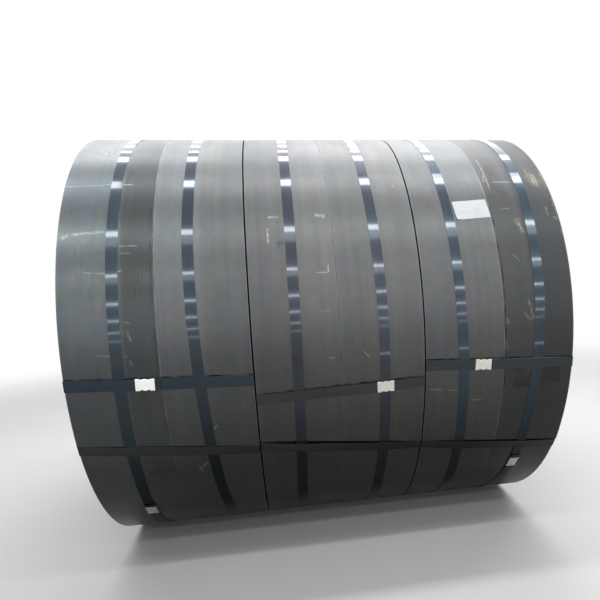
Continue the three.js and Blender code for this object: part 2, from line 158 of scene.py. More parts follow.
class MeshDraft:
    """Collects the points and faces of one piece, in millimetres, and makes its object."""

    def __init__(self) -> None:
        """Starts with no points and no faces."""
        self.points: list[np.ndarray] = []
        self.faces: list[list[int]] = []
        self.corners: list[np.ndarray] = []
        self.slots: list[int] = []
        self.count = 0

    def add_points(self, points: np.ndarray) -> np.ndarray:
        """Adds points of any arrangement.

        Args:
            points: Points with X, Y and Z last.

        Returns:
            Their numbers, arranged as the points are.
        """
        flat = points.reshape(-1, 3)
        numbers = np.arange(self.count, self.count + len(flat)).reshape(points.shape[:-1])
        self.points.append(flat)
        self.count += len(flat)
        return numbers

    def add_faces(self, numbers: np.ndarray, uv: Optional[np.ndarray] = None, slot: int = 0) -> None:
        """Adds faces that all have as many corners.

        Args:
            numbers: Rows of point numbers, one row a face.
            uv: Strip coordinates of each corner in metres, where their material needs them.
            slot: Place of their material among the piece's materials.
        """
        corners = np.zeros(numbers.shape + (2,)) if uv is None else uv
        self.faces.extend(numbers.tolist())
        self.corners.append(corners.reshape(-1, 2))
        self.slots.extend([slot] * len(numbers))

    def add_grid(self, numbers: np.ndarray, uv: Optional[np.ndarray] = None, slot: int = 0,
                 flip: bool = False) -> None:
        """Adds the faces of a grid of points, from their numbers and strip coordinates."""
        self.add_faces(cells(numbers, flip), None if uv is None else cells(uv, flip), slot)

    def make(self, name: str, sharp_angle: float = 32.0) -> bpy.types.Object:
        """Makes the object.

        Args:
            name: Name of the piece.
            sharp_angle: Least angle in degrees between faces that share a hard edge.

        Returns:
            The object, in metres, in the scene.
        """
        mesh = bpy.data.meshes.new(name)
        mesh.from_pydata((np.concatenate(self.points) * MM).tolist(), [], self.faces)
        mesh.uv_layers.new(name="strip").uv.foreach_set("vector", np.concatenate(self.corners).ravel())
        mesh.polygons.foreach_set("material_index", self.slots)
        mesh.polygons.foreach_set("use_smooth", [True] * len(self.faces))
        mesh.set_sharp_from_angle(angle=math.radians(sharp_angle))
        mesh.validate()
        piece = bpy.data.objects.new(name, mesh)
        bpy.context.scene.collection.objects.link(piece)
        return piece


def take_place(piece: bpy.types.Object, node: str, slot: str, *finishes: bpy.types.Material) -> None:
    """Lets a piece stand for its solid, and dresses it.

    Args:
        piece: The piece.
        node: The solid's name.
        slot: The material slot that its finish is from; not used.
        *finishes: Its materials, in their places.
    """
    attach(piece, "root")
    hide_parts(node)
    for finish in finishes:
        piece.data.materials.append(finish)


# ---------------- the bundle's layout


@cache
def coil_span(number: int) -> Ends:
    """Returns the left and right face of a coil along the axis, from the frame."""
    low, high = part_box(f"slit_coil_{number}")
    return low.x / MM, high.x / MM


@dataclass(frozen=True)
class Pair:
    """Two coils strapped together through the bore. Values in brackets are at its left and right face."""

    number: int
    tail: Ends  # angle of the strips' tails
    lift: Ends  # how far the tails have sprung off
    front_eye: Ends  # angle of the eye strap above the tails
    front_seal: float  # where along the pair its seal sits, from the middle
    tail_slot: Ends  # distance from the tails down to the strap that holds them
    tail_seal: float
    back_eye: Ends  # angle of the eye strap on the far side
    back_seal: float

    @property
    def coils(self) -> tuple[int, int]:
        """Returns the numbers of its two coils."""
        return 2 * self.number - 1, 2 * self.number

    @property
    def left(self) -> float:
        """Returns its left face."""
        return coil_span(self.coils[0])[0]

    @property
    def right(self) -> float:
        """Returns its right face."""
        return coil_span(self.coils[1])[1]

    @property
    def middle(self) -> float:
        """Returns its middle along the axis."""
        return (self.left + self.right) / 2

    def across(self, values: Ends, x: np.ndarray) -> np.ndarray:
        """Returns a value given at both faces, at x between them."""
        return np.interp(x, (self.left, self.right), values)

    def tail_at(self, x: float) -> float:
        """Returns the angle of the tails at x."""
        return float(self.across(self.tail, x))

    def arc_at(self, x: float, angle: float) -> float:
        """Returns how far from the end of the strip a spot lies, round the coil."""
        return math.radians((angle - self.tail_at(x)) % 360.0) * COIL_RADIUS

    def wrap_radius(self, x: np.ndarray, from_tail: np.ndarray, pitch: float = STRIP_THICKNESS) -> np.ndarray:
        """Returns the radius of a spiral whose end has sprung off, some degrees inwards from the tail."""
        free = np.maximum(0.0, 1.0 - from_tail / SPRUNG_ARC)
        return COIL_RADIUS - pitch * from_tail / 360.0 + self.across(self.lift, x) * free**2


PAIRS = (
    Pair(1, tail=(-19.35, -23.55), lift=(1.0, 1.5), front_eye=(-5.0, -6.5), front_seal=-42.0,
         tail_slot=(2.0, 2.0), tail_seal=46.0, back_eye=(182.0, 180.5), back_seal=60.0),
    Pair(2, tail=(-22.0, -26.8), lift=(5.0, 4.0), front_eye=(-11.3, -9.9), front_seal=130.0,
         tail_slot=(14.0, 4.0), tail_seal=-58.0, back_eye=(177.0, 178.5), back_seal=-48.0),
    Pair(3, tail=(-26.9, -30.9), lift=(3.0, 3.0), front_eye=(-6.0, -7.6), front_seal=-60.0,
         tail_slot=(4.0, 9.0), tail_seal=52.0, back_eye=(181.0, 183.0), back_seal=44.0),
)


@dataclass(frozen=True)
class BellyRoute:
    """Where a belly strap runs round its coil: straight between places (angle, distance from middle)."""

    places: tuple[Place, ...]
    seal: float  # angle of its seal

    def offset(self, angle: np.ndarray) -> np.ndarray:
        """Finds where the strap runs.

        Args:
            angle: Angle about the axis.

        Returns:
            The strap's distance from its coil's middle there.
        """
        start = self.places[0][0]
        down = np.mod(start - np.asarray(angle), 360.0)
        turned = [start - place for place, _ in self.places] + [360.0]
        offsets = [distance for _, distance in self.places] + [self.places[0][1]]
        return np.interp(down, turned, offsets)


BELLY_ROUTES = (
    BellyRoute(((90, 18), (0, 17), (-20, 15), (-48, 11)), -46),
    BellyRoute(((90, -25), (60, -27), (26, -34), (8, -30), (-12, -20), (-30, -10), (-50, 4)), -128),
    BellyRoute(((90, 3), (30, 1), (-10, -3), (-40, -5)), -141),
    BellyRoute(((90, -9), (45, -4), (8, 4), (-20, 4), (-48, 2)), -122),
    BellyRoute(((90, -18), (36, -14), (8, -11), (-12, -3), (-30, 2), (-58, 12)), -134),
    BellyRoute(((90, 22), (56, 20), (30, 10), (8, 3), (-13, -8), (-28, -18), (-40, -14), (-54, -28)), -40),
)


# ---------------- finishes


def srgb(code: str) -> tuple[float, float, float, float]:
    """Returns an sRGB hex colour as linear red, green, blue and alpha."""
    channels = (int(code.lstrip("#")[i:i + 2], 16) / 255 for i in (0, 2, 4))
    return (*(c / 12.92 if c <= 0.04045 else ((c + 0.055) / 1.055) ** 2.4 for c in channels), 1.0)


class Nodes:
    """A node tree while it is drawn up."""

    def __init__(self, tree: bpy.types.NodeTree, seed: float = 0.0) -> None:
        """Empties the tree.

        Args:
            tree: The node tree.
            seed: What gives it its own part of each pattern.
        """
        self.tree = tree
        self.seed = seed
        tree.nodes.clear()

    def add(self, kind: str, inputs: object = (), out: object = None, **settings: object) -> Optional[Socket]:
        """Adds one node with its settings and links.

        Args:
            kind: Blender's name of the node without its ShaderNode, and its mode where it has one.
            inputs: A socket to link from or a value for each input that its mode uses, in order or by name.
            out: Number or name of the output that is wanted, if not the first that its mode uses.
            **settings: The node's own properties.

        Returns:
            The wanted output, or None if the node has none.
        """
        kind, _, mode = kind.partition(" ")
        node = self.tree.nodes.new(kind if kind.startswith("NodeGroup") else "ShaderNode" + kind)
        if mode:
            settings["data_type" if kind == "Mix" else "operation"] = mode
        for name, value in settings.items():
            setattr(node, name, value)
        if not isinstance(inputs, dict):
            used = (number for number, socket in enumerate(node.inputs) if socket.enabled)
            inputs = dict(zip(used, inputs))
        for key, value in inputs.items():
            if isinstance(value, Socket):
                self.tree.links.new(value, node.inputs[key])
            else:
                node.inputs[key].default_value = value
        used = [socket for socket in node.outputs if socket.enabled]
        return node.outputs[out] if out is not None else used[0] if used else None

    def grain(self, place: Socket, size: tuple[float, float, float], shift: float, detail: float = 3.0,
              out: object = 0) -> Socket:
        """Adds noise of a real size.

        Args:
            place: A position in metres.
            size: Size of the pattern along each direction, in millimetres.
            shift: Which part of the noise is used.
            detail: How many finer layers it has.
            out: Output that is wanted, 0 for its value and 1 for a colour.

        Returns:
            The noise, about 0.5.
        """
        start = self.seed + shift
        scale, moved = tuple(1 / (s * MM) for s in size), tuple(start * part for part in NOISE_DRIFT)
        where = self.add("VectorMath MULTIPLY_ADD", (place, scale, moved))
        return self.add("TexNoise", {"Vector": where, "Scale": 1.0, "Detail": detail, "Roughness": 0.55}, out)

    def height(self, low: float, high: float) -> Socket:
        """Adds a value that rises from 0 to 1 between two heights over the floor, in metres."""
        up = self.add("SeparateXYZ", (self.add("TexCoord", (), "Object"),), 2)
        return self.add("MapRange", (up, low, high, 0.0, 1.0))

    def shaded_towards_floor(self, colour: Socket, low: str) -> Socket:
        """Darkens a colour towards the floor: painted shade for the lower parts, which less light reaches.

        Args:
            colour: The unshaded colour.
            low: What colours it near the floor.

        Returns:
            The colour as it is at each height.
        """
        # Painted shade: the colour darkens from 1.15 m over the floor down to 0.15 m.
        clear = self.height(0.15, 1.15)
        low_shade = self.add("Mix RGBA", (clear, srgb(low), srgb("#ffffff")))
        return self.add("Mix RGBA", (1.0, colour, low_shade), blend_type="MULTIPLY")

    def finish(self, **inputs: object) -> None:
        """Adds the surface shader, whose inputs' names have _ for a space, and the output."""
        shader = self.add("BsdfPrincipled", {name.replace("_", " "): value for name, value in inputs.items()})
        self.add("OutputMaterial", (shader,))


@dataclass(frozen=True)
class Finish:
    """A finish, which draws its own nodes."""

    name: str
    seed: float  # what gives it its own part of each noise

    def draw(self, n: Nodes, *about: object) -> None:
        """Draws its nodes, from what they need to know of the piece."""

    def build(self, *about: object) -> bpy.types.Material:
        """Makes the material.

        Args:
            *about: What its nodes need to know of the piece.

        Returns:
            The material.
        """
        material = bpy.data.materials.new(self.name)
        material.use_nodes = True
        self.draw(Nodes(material.node_tree, self.seed), *about)
        return material


class MarkKind(Enum):
    """What marks the steel, painted shade among them: its colour, and the size across and along the strip of
    its strokes.
    """

    DUST = ("#8d8877", (60.0, 30.0, 1.0))
    SMUDGE = ("#35373b", (14.0, 12.0, 1.0))
    # Damp stains, and painted shade where the widest strokes darken the lowest outer corners of coils 1 and
    # 6.
    DAMP = ("#2b2b29", (90.0, 60.0, 1.0))
    # Painted shade: near-black lines in the joints between coils and above the front eye straps.
    OIL = ("#0f1011", (50.0, 40.0, 1.0))
    RUST = ("#5a5049", (9.0, 9.0, 1.0))
    SCUFF = ("#c2bda8", (4.0, 12.0, 1.0))
    # Scratches, and a painted highlight in two wide strokes on coil 1.
    SCRATCH = ("#c6c6bd", (14.0, 2.5, 1.0))
    CHALK = ("#dfe2e0", (5.0, 6.0, 1.0))


@dataclass(frozen=True)
class Mark:
    """A straight mark on a coil's outside, between two spots."""

    kind: MarkKind
    start: Spot
    end: Spot
    width: float
    strength: float = 0.6
    crisp: float = 0.05  # share of its half width that is at full strength


def strokes(kind: MarkKind, *rows: tuple[float, ...]) -> tuple[Mark, ...]:
    """Makes marks of one kind from rows (start and end, each an x and an angle, width, strength, crisp)."""
    return tuple(Mark(kind, row[:2], row[2:4], *row[4:]) for row in rows)


def mark_group() -> bpy.types.NodeTree:
    """Draws the node group that masks one straight mark, the first time it is asked for.

    Returns:
        The group.
    """
    name = "straight_mark"
    if name in bpy.data.node_groups:
        return bpy.data.node_groups[name]
    tree = bpy.data.node_groups.new(name, "ShaderNodeTree")
    for label in ("Position", "Start", "Length", "Half", "Crisp", "Strength"):
        kind = "Vector" if label in ("Position", "Start", "Length") else "Float"
        tree.interface.new_socket(label, in_out="INPUT", socket_type="NodeSocket" + kind)
    tree.interface.new_socket("Mask", in_out="OUTPUT", socket_type="NodeSocketFloat")
    n = Nodes(tree)
    given = n.add("NodeGroupInput").node.outputs
    length, half = given["Length"], given["Half"]
    away = n.add("VectorMath SUBTRACT", (given["Position"], given["Start"]))
    along = n.add("VectorMath DOT_PRODUCT", (away, length))
    square = n.add("VectorMath DOT_PRODUCT", (length, length))
    share = n.add("Math DIVIDE", (along, square))
    foot = n.add("VectorMath SCALE", (length, share))
    off = n.add("VectorMath DISTANCE", (away, foot))
    from_middle = n.add("Math ABSOLUTE", (n.add("Math SUBTRACT", (share, 0.5)),))
    past_end = n.add("Math SUBTRACT", (from_middle, 0.5))
    whole = n.add("VectorMath LENGTH", (length,))
    end = n.add("Math MULTIPLY_ADD", (past_end, whole, half))
    far = n.add("Math DIVIDE", (n.add("Math MAXIMUM", (end, off)), half))
    n.add("NodeGroupOutput", (n.add("MapRange", (far, 1.0, given["Crisp"], 0.0, given["Strength"])),))
    return tree


@dataclass(frozen=True)
class MillScale(Finish):
    """Mill scale: the thin blue-grey oxide that hot rolling leaves on low-carbon steel strip.

    It has a satin gloss that turns bright where it is seen at a slant, with faint streaks along the rolling
    direction, clouds of blue temper colour, and dark specks where it has flaked.
    """

    tone: str  # the scale's own colour
    temper: str  # its clouds
    roughness: float
    edge_light: Ends  # how bright the slit edges are rubbed, left and right
    tints: tuple[str, str] = ("#ffffff", "#ffffff")  # what colours it left and right of the split
    split: float = 0.0  # from its left face
    low: str = "#64594b"  # painted shade: what darkens it near the floor
    marks: tuple[Mark, ...] = ()

    def strap_shadow_line(self, pair: Pair, span: Ends) -> Mark:
        """Draws a dark line of painted shadow along the upper edge of the front eye strap.

        Args:
            pair: The coil's pair.
            span: The coil's left and right face.

        Returns:
            The mark.
        """
        above, width, strength, crisp = 2.5, 6.5, 0.95, 0.5
        rise = math.degrees((STRAP_WIDTH / 2 + above) / COIL_RADIUS)
        left, right = ((face, float(pair.across(pair.front_eye, face)) + rise) for face in span)
        return Mark(MarkKind.OIL, left, right, width, strength, crisp)

    def add_mask(self, n: Nodes, place: Socket, mark: Mark, pair: Pair) -> Socket:
        """Adds the mask of one mark.

        Args:
            n: The material's node tree.
            place: Strip coordinates, in metres.
            mark: The mark.
            pair: The coil's pair, which has the angle of the tail.

        Returns:
            The mask.
        """
        start, end = (Vector((x * MM, pair.arc_at(x, angle) * MM, 0.0))
                      for x, angle in (mark.start, mark.end))
        shaken = Vector((WAVER / 2, WAVER / 2, 0.0))
        node = n.add("Group", node_tree=mark_group()).node
        n.tree.links.new(place, node.inputs["Position"])
        for label, value in (("Start", start + shaken), ("Length", end - start), ("Crisp", mark.crisp),
                             ("Half", mark.width / 2 * MM), ("Strength", mark.strength)):
            node.inputs[label].default_value = value
        return node.outputs[0]

    def add_marks(self, n: Nodes, place: Socket, colour: Socket, pair: Pair, span: Ends) -> Socket:
        """Lays the coil's marks over its colour, one kind after the other.

        Args:
            n: The material's node tree.
            place: Strip coordinates, in metres.
            colour: The unmarked colour.
            pair: The coil's pair.
            span: The coil's left and right face.

        Returns:
            The marked colour.
        """
        stray = n.grain(place, (34.0, 26.0, 1.0), 1.9, 2.0, 1)
        shaken = n.add("VectorMath MULTIPLY_ADD", (stray, (WAVER, WAVER, 0.0), place))
        for kind in MarkKind:
            marks = [mark for mark in (*self.marks, self.strap_shadow_line(pair, span)) if mark.kind is kind]
            masks = [self.add_mask(n, shaken, mark, pair) for mark in marks]
            if not masks:
                continue
            mask = reduce(lambda one, other: n.add("Math MAXIMUM", (one, other)), masks)
            paint, stroke = kind.value
            broken = n.add("MapRange", (n.grain(place, stroke, 9.4), 0.38, 0.6, 0.1, 1.0))
            share = n.add("Math MULTIPLY", (mask, broken))
            colour = n.add("Mix RGBA", (share, colour, srgb(paint)))
        return colour

    def draw(self, n: Nodes, pair: Pair, span: Ends) -> None:
        """Draws its nodes for one coil.

        Args:
            n: The material's node tree.
            pair: The coil's pair.
            span: The coil's left and right face.
        """
        place = n.add("UVMap", uv_map="strip")
        # Rolling streaks are 1 to 4 mm wide; the finest are drawn 4 mm wide so that they show.
        fine = n.grain(place, (4.0, 420.0, 1.0), 0.0)
        bands = n.grain(place, (24.0, 1600.0, 1.0), 3.1, 2.0)
        clouds = n.grain(place, (120.0, 170.0, 1.0), 7.7, 4.0)
        mottle = n.grain(place, (34.0, 26.0, 1.0), 4.6, 4.0, 1)
        grain = n.grain(place, (1.8, 7.0, 1.0), 5.2, 2.0)
        across = n.add("SeparateXYZ", (place,))

        tone, temper, left_tint, right_tint = (srgb(code) for code in (self.tone, self.temper, *self.tints))
        tempered = n.add("MapRange", (clouds, 0.36, 0.64))
        colour = n.add("Mix RGBA", (tempered, tone, temper))
        left, right = (face * MM for face in span)
        middle, blend = left + self.split * MM, 0.01
        side = n.add("MapRange", (across, middle - blend, middle + blend), interpolation_type="SMOOTHSTEP")
        side = n.add("Math MULTIPLY", (side, n.height(0.25, 0.95)))
        tint = n.add("Mix RGBA", (side, left_tint, right_tint))
        colour = n.add("Mix RGBA", (1.0, colour, tint), blend_type="MULTIPLY")
        streaks = n.add("Math MULTIPLY", (n.add("MapRange", (fine, *NOISE_SPAN, 0.96, 1.04)),
                                          n.add("MapRange", (bands, *NOISE_SPAN, 0.93, 1.07))))
        colour = n.add("VectorMath SCALE", (colour, streaks))
        # Handling and drying oil leave the scale mottled, a little warmer here and cooler there.
        spots = n.add("VectorMath MULTIPLY_ADD", (mottle, (0.42, 0.36, 0.42), (0.79, 0.82, 0.79)))
        colour = n.add("VectorMath MULTIPLY", (colour, spots))

        # The slitting knife leaves a bright, slightly raised edge: full over 1 mm, and gone 3 mm in.
        full, gone = 1.0 * MM, 3.0 * MM
        rubbed = [n.add("MapRange", (across, face + way * gone, face + way * full, 0.0, light))
                  for face, way, light in zip((left, right), (1, -1), self.edge_light)]
        worn = n.add("MapRange", (n.grain(place, (3.0, 60.0, 1.0), 2.2), 0.35, 0.6))
        # Flaked specks are half a millimetre across; they are drawn 3 mm across so that they show.
        specks = n.add("MapRange", (n.grain(place, (3.0, 4.0, 1.0), 6.4, 1.0), 0.7, 0.78, 0.0, 0.45))
        bright = n.add("Math MULTIPLY", (n.add("Math MAXIMUM", rubbed), worn))
        for share, paint in ((bright, "#b4b5b4"), (specks, "#3a3a39")):
            colour = n.add("Mix RGBA", (share, colour, srgb(paint)))
        # The marked colour gets painted shade towards the floor.
        colour = n.shaded_towards_floor(self.add_marks(n, place, colour, pair, span), self.low)

        least, most = self.roughness - 0.03, self.roughness + 0.03
        gloss = n.add("Math ADD", (n.add("MapRange", (fine, *NOISE_SPAN, least, most)),
                                   n.add("MapRange", (clouds, *NOISE_SPAN, -0.04, 0.04))))
        relief = n.add("Math ADD", (fine, grain))
        shallow = n.add("Bump", {"Height": relief, "Strength": 0.2, "Distance": 0.0002})
        # A flat strip never winds quite true: shallow buckles some 90 mm long and a few tenths deep.
        buckled = n.add("Bump", {"Height": n.grain(place, (150.0, 90.0, 1.0), 1.3, 1.0), "Strength": 0.5,
                                 "Distance": 0.0009, "Normal": shallow})
        n.finish(Base_Color=colour, Metallic=0.8, Roughness=gloss, Normal=buckled)


@dataclass(frozen=True)
class SlitEdge(Finish):
    """The strip's slit edge: sheared steel, half of it burnished bright by the knife and half torn grey.

    Seen on a coil's end it makes fine rings, darker where oil and rust have crept in between the turns.
    """

    tone: str = "#4b4d50"

    def draw(self, n: Nodes) -> None:
        """Draws its nodes.

        Args:
            n: The material's node tree.
        """
        place = n.add("UVMap", uv_map="strip")
        # The turns are 3 mm apart, so the rings are that fine.
        rings = n.grain(place, (3.2, 2600.0, 1.0), 0.0, 2.0)
        groups = n.grain(place, (26.0, 9000.0, 1.0), 3.0, 2.0)
        blotches = n.grain(place, (60.0, 130.0, 1.0), 6.0, 5.0)
        colour = srgb(self.tone)
        for pattern, (low, high), most, paint in ((rings, NOISE_SPAN, 1.0, "#86898b"),
                                                  (groups, (0.42, 0.6), 0.55, "#3a3c3f"),
                                                  (blotches, (0.56, 0.8), 0.5, "#6b5444")):
            share = n.add("MapRange", (pattern, low, high, 0.0, most))
            colour = n.add("Mix RGBA", (share, colour, srgb(paint)))
        gloss = n.add("MapRange", (blotches, 0.3, 0.8, 0.34, 0.62))
        bump = n.add("Bump", {"Height": rings, "Strength": 0.3, "Distance": 0.0004})
        # The colour gets painted shade towards the floor.
        n.finish(Base_Color=n.shaded_towards_floor(colour, "#c3c1be"), Metallic=0.85, Roughness=gloss, Normal=bump)


@dataclass(frozen=True)
class BluedSteel(Finish):
    """Waxed blued strapping: a dark blue temper oxide under a thin coat of clear wax.

    The wax reflects sharply and without colour, and the oxide below it adds a softer blue round each
    reflection. Low down the wax has worn away.
    """

    tone: str
    rim: str = "#4b5257"  # its slit edges
    roughness: float = 0.2
    at_a_slant: tuple[float, ...] = (0.72, 0.72, 0.75, 1.0)  # how much the oxide reflects there
    slot_shadow: Optional[Ends] = None  # heights over the floor between which the shadow of the slot below the tails is painted on it

    def add_slot_shadow(self, n: Nodes, colour: Socket) -> Socket:
        """Paints the slot's shadow, near black, over the colour where the front of the strap crosses the slot
        below the tails.

        Args:
            n: The material's node tree.
            colour: The unshaded colour.

        Returns:
            The colour with the painted shadow.
        """
        where = n.add("SeparateXYZ", (n.add("TexCoord", (), "Object"),)).node.outputs
        low, high = (height * MM for height in self.slot_shadow)
        away = n.add("Math ABSOLUTE", (n.add("Math SUBTRACT", (where["Z"], (low + high) / 2)),))
        inside = n.add("MapRange", (n.add("Math DIVIDE", (away, (high - low) / 2)), 1.4, 0.7))
        in_shadow = n.add("Math MULTIPLY", (inside, n.add("Math LESS_THAN", (where["Y"], 0.0))))
        return n.add("Mix RGBA", (in_shadow, colour, srgb("#050606")))

    def draw(self, n: Nodes) -> None:
        """Draws its nodes.

        Args:
            n: The material's node tree.
        """
        place = n.add("UVMap", uv_map="strip")
        # Drawing lines are far finer than a millimetre; they are drawn 2.5 mm apart so that they show.
        drawn = n.grain(place, (2.5, 160.0, 1.0), 0.0)
        heat = n.grain(place, (40.0, 210.0, 1.0), 2.0, 2.0)
        waves = n.grain(place, (70.0, 40.0, 1.0), 5.0, 1.0)
        away, half = n.add("Math ABSOLUTE", (n.add("SeparateXYZ", (place,)),)), STRAP_WIDTH / 2 * MM
        edge = n.add("MapRange", (away, half - 1.5 * MM, half - 0.2 * MM, 0.0, 0.6))
        tone, rim = srgb(self.tone), srgb(self.rim)
        colour = n.add("Mix RGBA", (edge, tone, rim))
        shade = n.add("Math MULTIPLY", (n.add("MapRange", (drawn, *NOISE_SPAN, 0.92, 1.08)),
                                        n.add("MapRange", (heat, 0.35, 0.65, 0.85, 1.15))))
        colour = n.add("VectorMath SCALE", (colour, shade))
        gloss = n.add("MapRange", (drawn, *NOISE_SPAN, self.roughness - 0.02, self.roughness + 0.04))
        # A painted shadow where the strap crosses the dark slot below the tails.
        if self.slot_shadow:
            colour = self.add_slot_shadow(n, colour)
        fine = n.add("Bump", {"Height": drawn, "Strength": 0.12, "Distance": 0.0001})
        wavy = n.add("Bump", {"Height": waves, "Strength": 0.5, "Distance": 0.0008, "Normal": fine})
        # The colour gets painted shade towards the floor.
        n.finish(Base_Color=n.shaded_towards_floor(colour, "#ab967f"), Metallic=1.0, Specular_Tint=self.at_a_slant,
                 Roughness=gloss, Normal=wavy, Coat_Roughness=0.08, Coat_IOR=1.6,
                 Coat_Weight=n.height(0.25, 1.0))


@dataclass(frozen=True)
class ZincPlate(Finish):
    """Zinc-plated seal: soft silvery sheet, dulled by handling, brighter where the crimper rubbed it."""

    tone: str
    dull: str
    metallic: float = 0.75

    def draw(self, n: Nodes) -> None:
        """Draws its nodes.

        Args:
            n: The material's node tree.
        """
        place = n.add("TexCoord", (), "Object")
        # The spangle of thin plating is fine; it is drawn 7 mm across so that it shows.
        spangle = n.add("MapRange", (n.grain(place, (7.0, 7.0, 7.0), 0.0, 4.0), 0.36, 0.62))
        rub = n.grain(place, (1.6, 9.0, 1.6), 4.0)
        dull, tone = srgb(self.dull), srgb(self.tone)
        colour = n.add("Mix RGBA", (spangle, dull, tone))
        bump = n.add("Bump", {"Height": rub, "Strength": 0.2, "Distance": 0.0002})
        gloss = n.add("MapRange", (rub, *NOISE_SPAN, 0.32, 0.46))
        n.finish(Base_Color=colour, Metallic=self.metallic, Roughness=gloss, Normal=bump)


@dataclass(frozen=True)
class LabelPaper(Finish):
    """Uncoated label paper: matt white, faintly cockled, with pale printed rules and no words."""

    tone: str = "#dfe1e6"
    stain: str = "#cbccce"
    rule: str = "#b9bec4"
    pitch: float = 9.0  # of its rules
    line: float = 1.0  # width of a rule: a printer's, 0.3 wide, wouldn't show
    margin: float = 8.0  # from its edge to a rule's end

    def draw(self, n: Nodes, width: float) -> None:
        """Draws its nodes.

        Args:
            n: The material's node tree.
            width: The label's width.
        """
        place = n.add("UVMap", uv_map="strip")
        parts = n.add("SeparateXYZ", (place,)).node.outputs
        row = n.add("Math MODULO", (parts["Y"], self.pitch * MM))
        inside = n.add("Math COMPARE", (parts["X"], width / 2 * MM, (width / 2 - self.margin) * MM))
        ruled = n.add("Math MULTIPLY", (n.add("Math LESS_THAN", (row, self.line * MM)), inside))
        stained = n.add("MapRange", (n.grain(place, (30.0, 24.0, 1.0), 3.0), 0.5, 0.75, 0.0, 0.6))
        colour = srgb(self.tone)
        for share, paint in ((stained, self.stain), (n.add("Math MULTIPLY", (ruled, 0.3)), self.rule)):
            colour = n.add("Mix RGBA", (share, colour, srgb(paint)))
        fibre = n.grain(place, (1.2, 1.2, 1.0), 0.0)
        bump = n.add("Bump", {"Height": fibre, "Strength": 0.2, "Distance": 0.0001})
        n.finish(Base_Color=colour, Roughness=0.72, IOR=1.45, Normal=bump)


# ---------------- slit coils


class OpenEnd(Enum):
    """Which end of a coil can be seen, and so shows its turns."""

    NONE = 0
    LEFT = -1
    RIGHT = 1


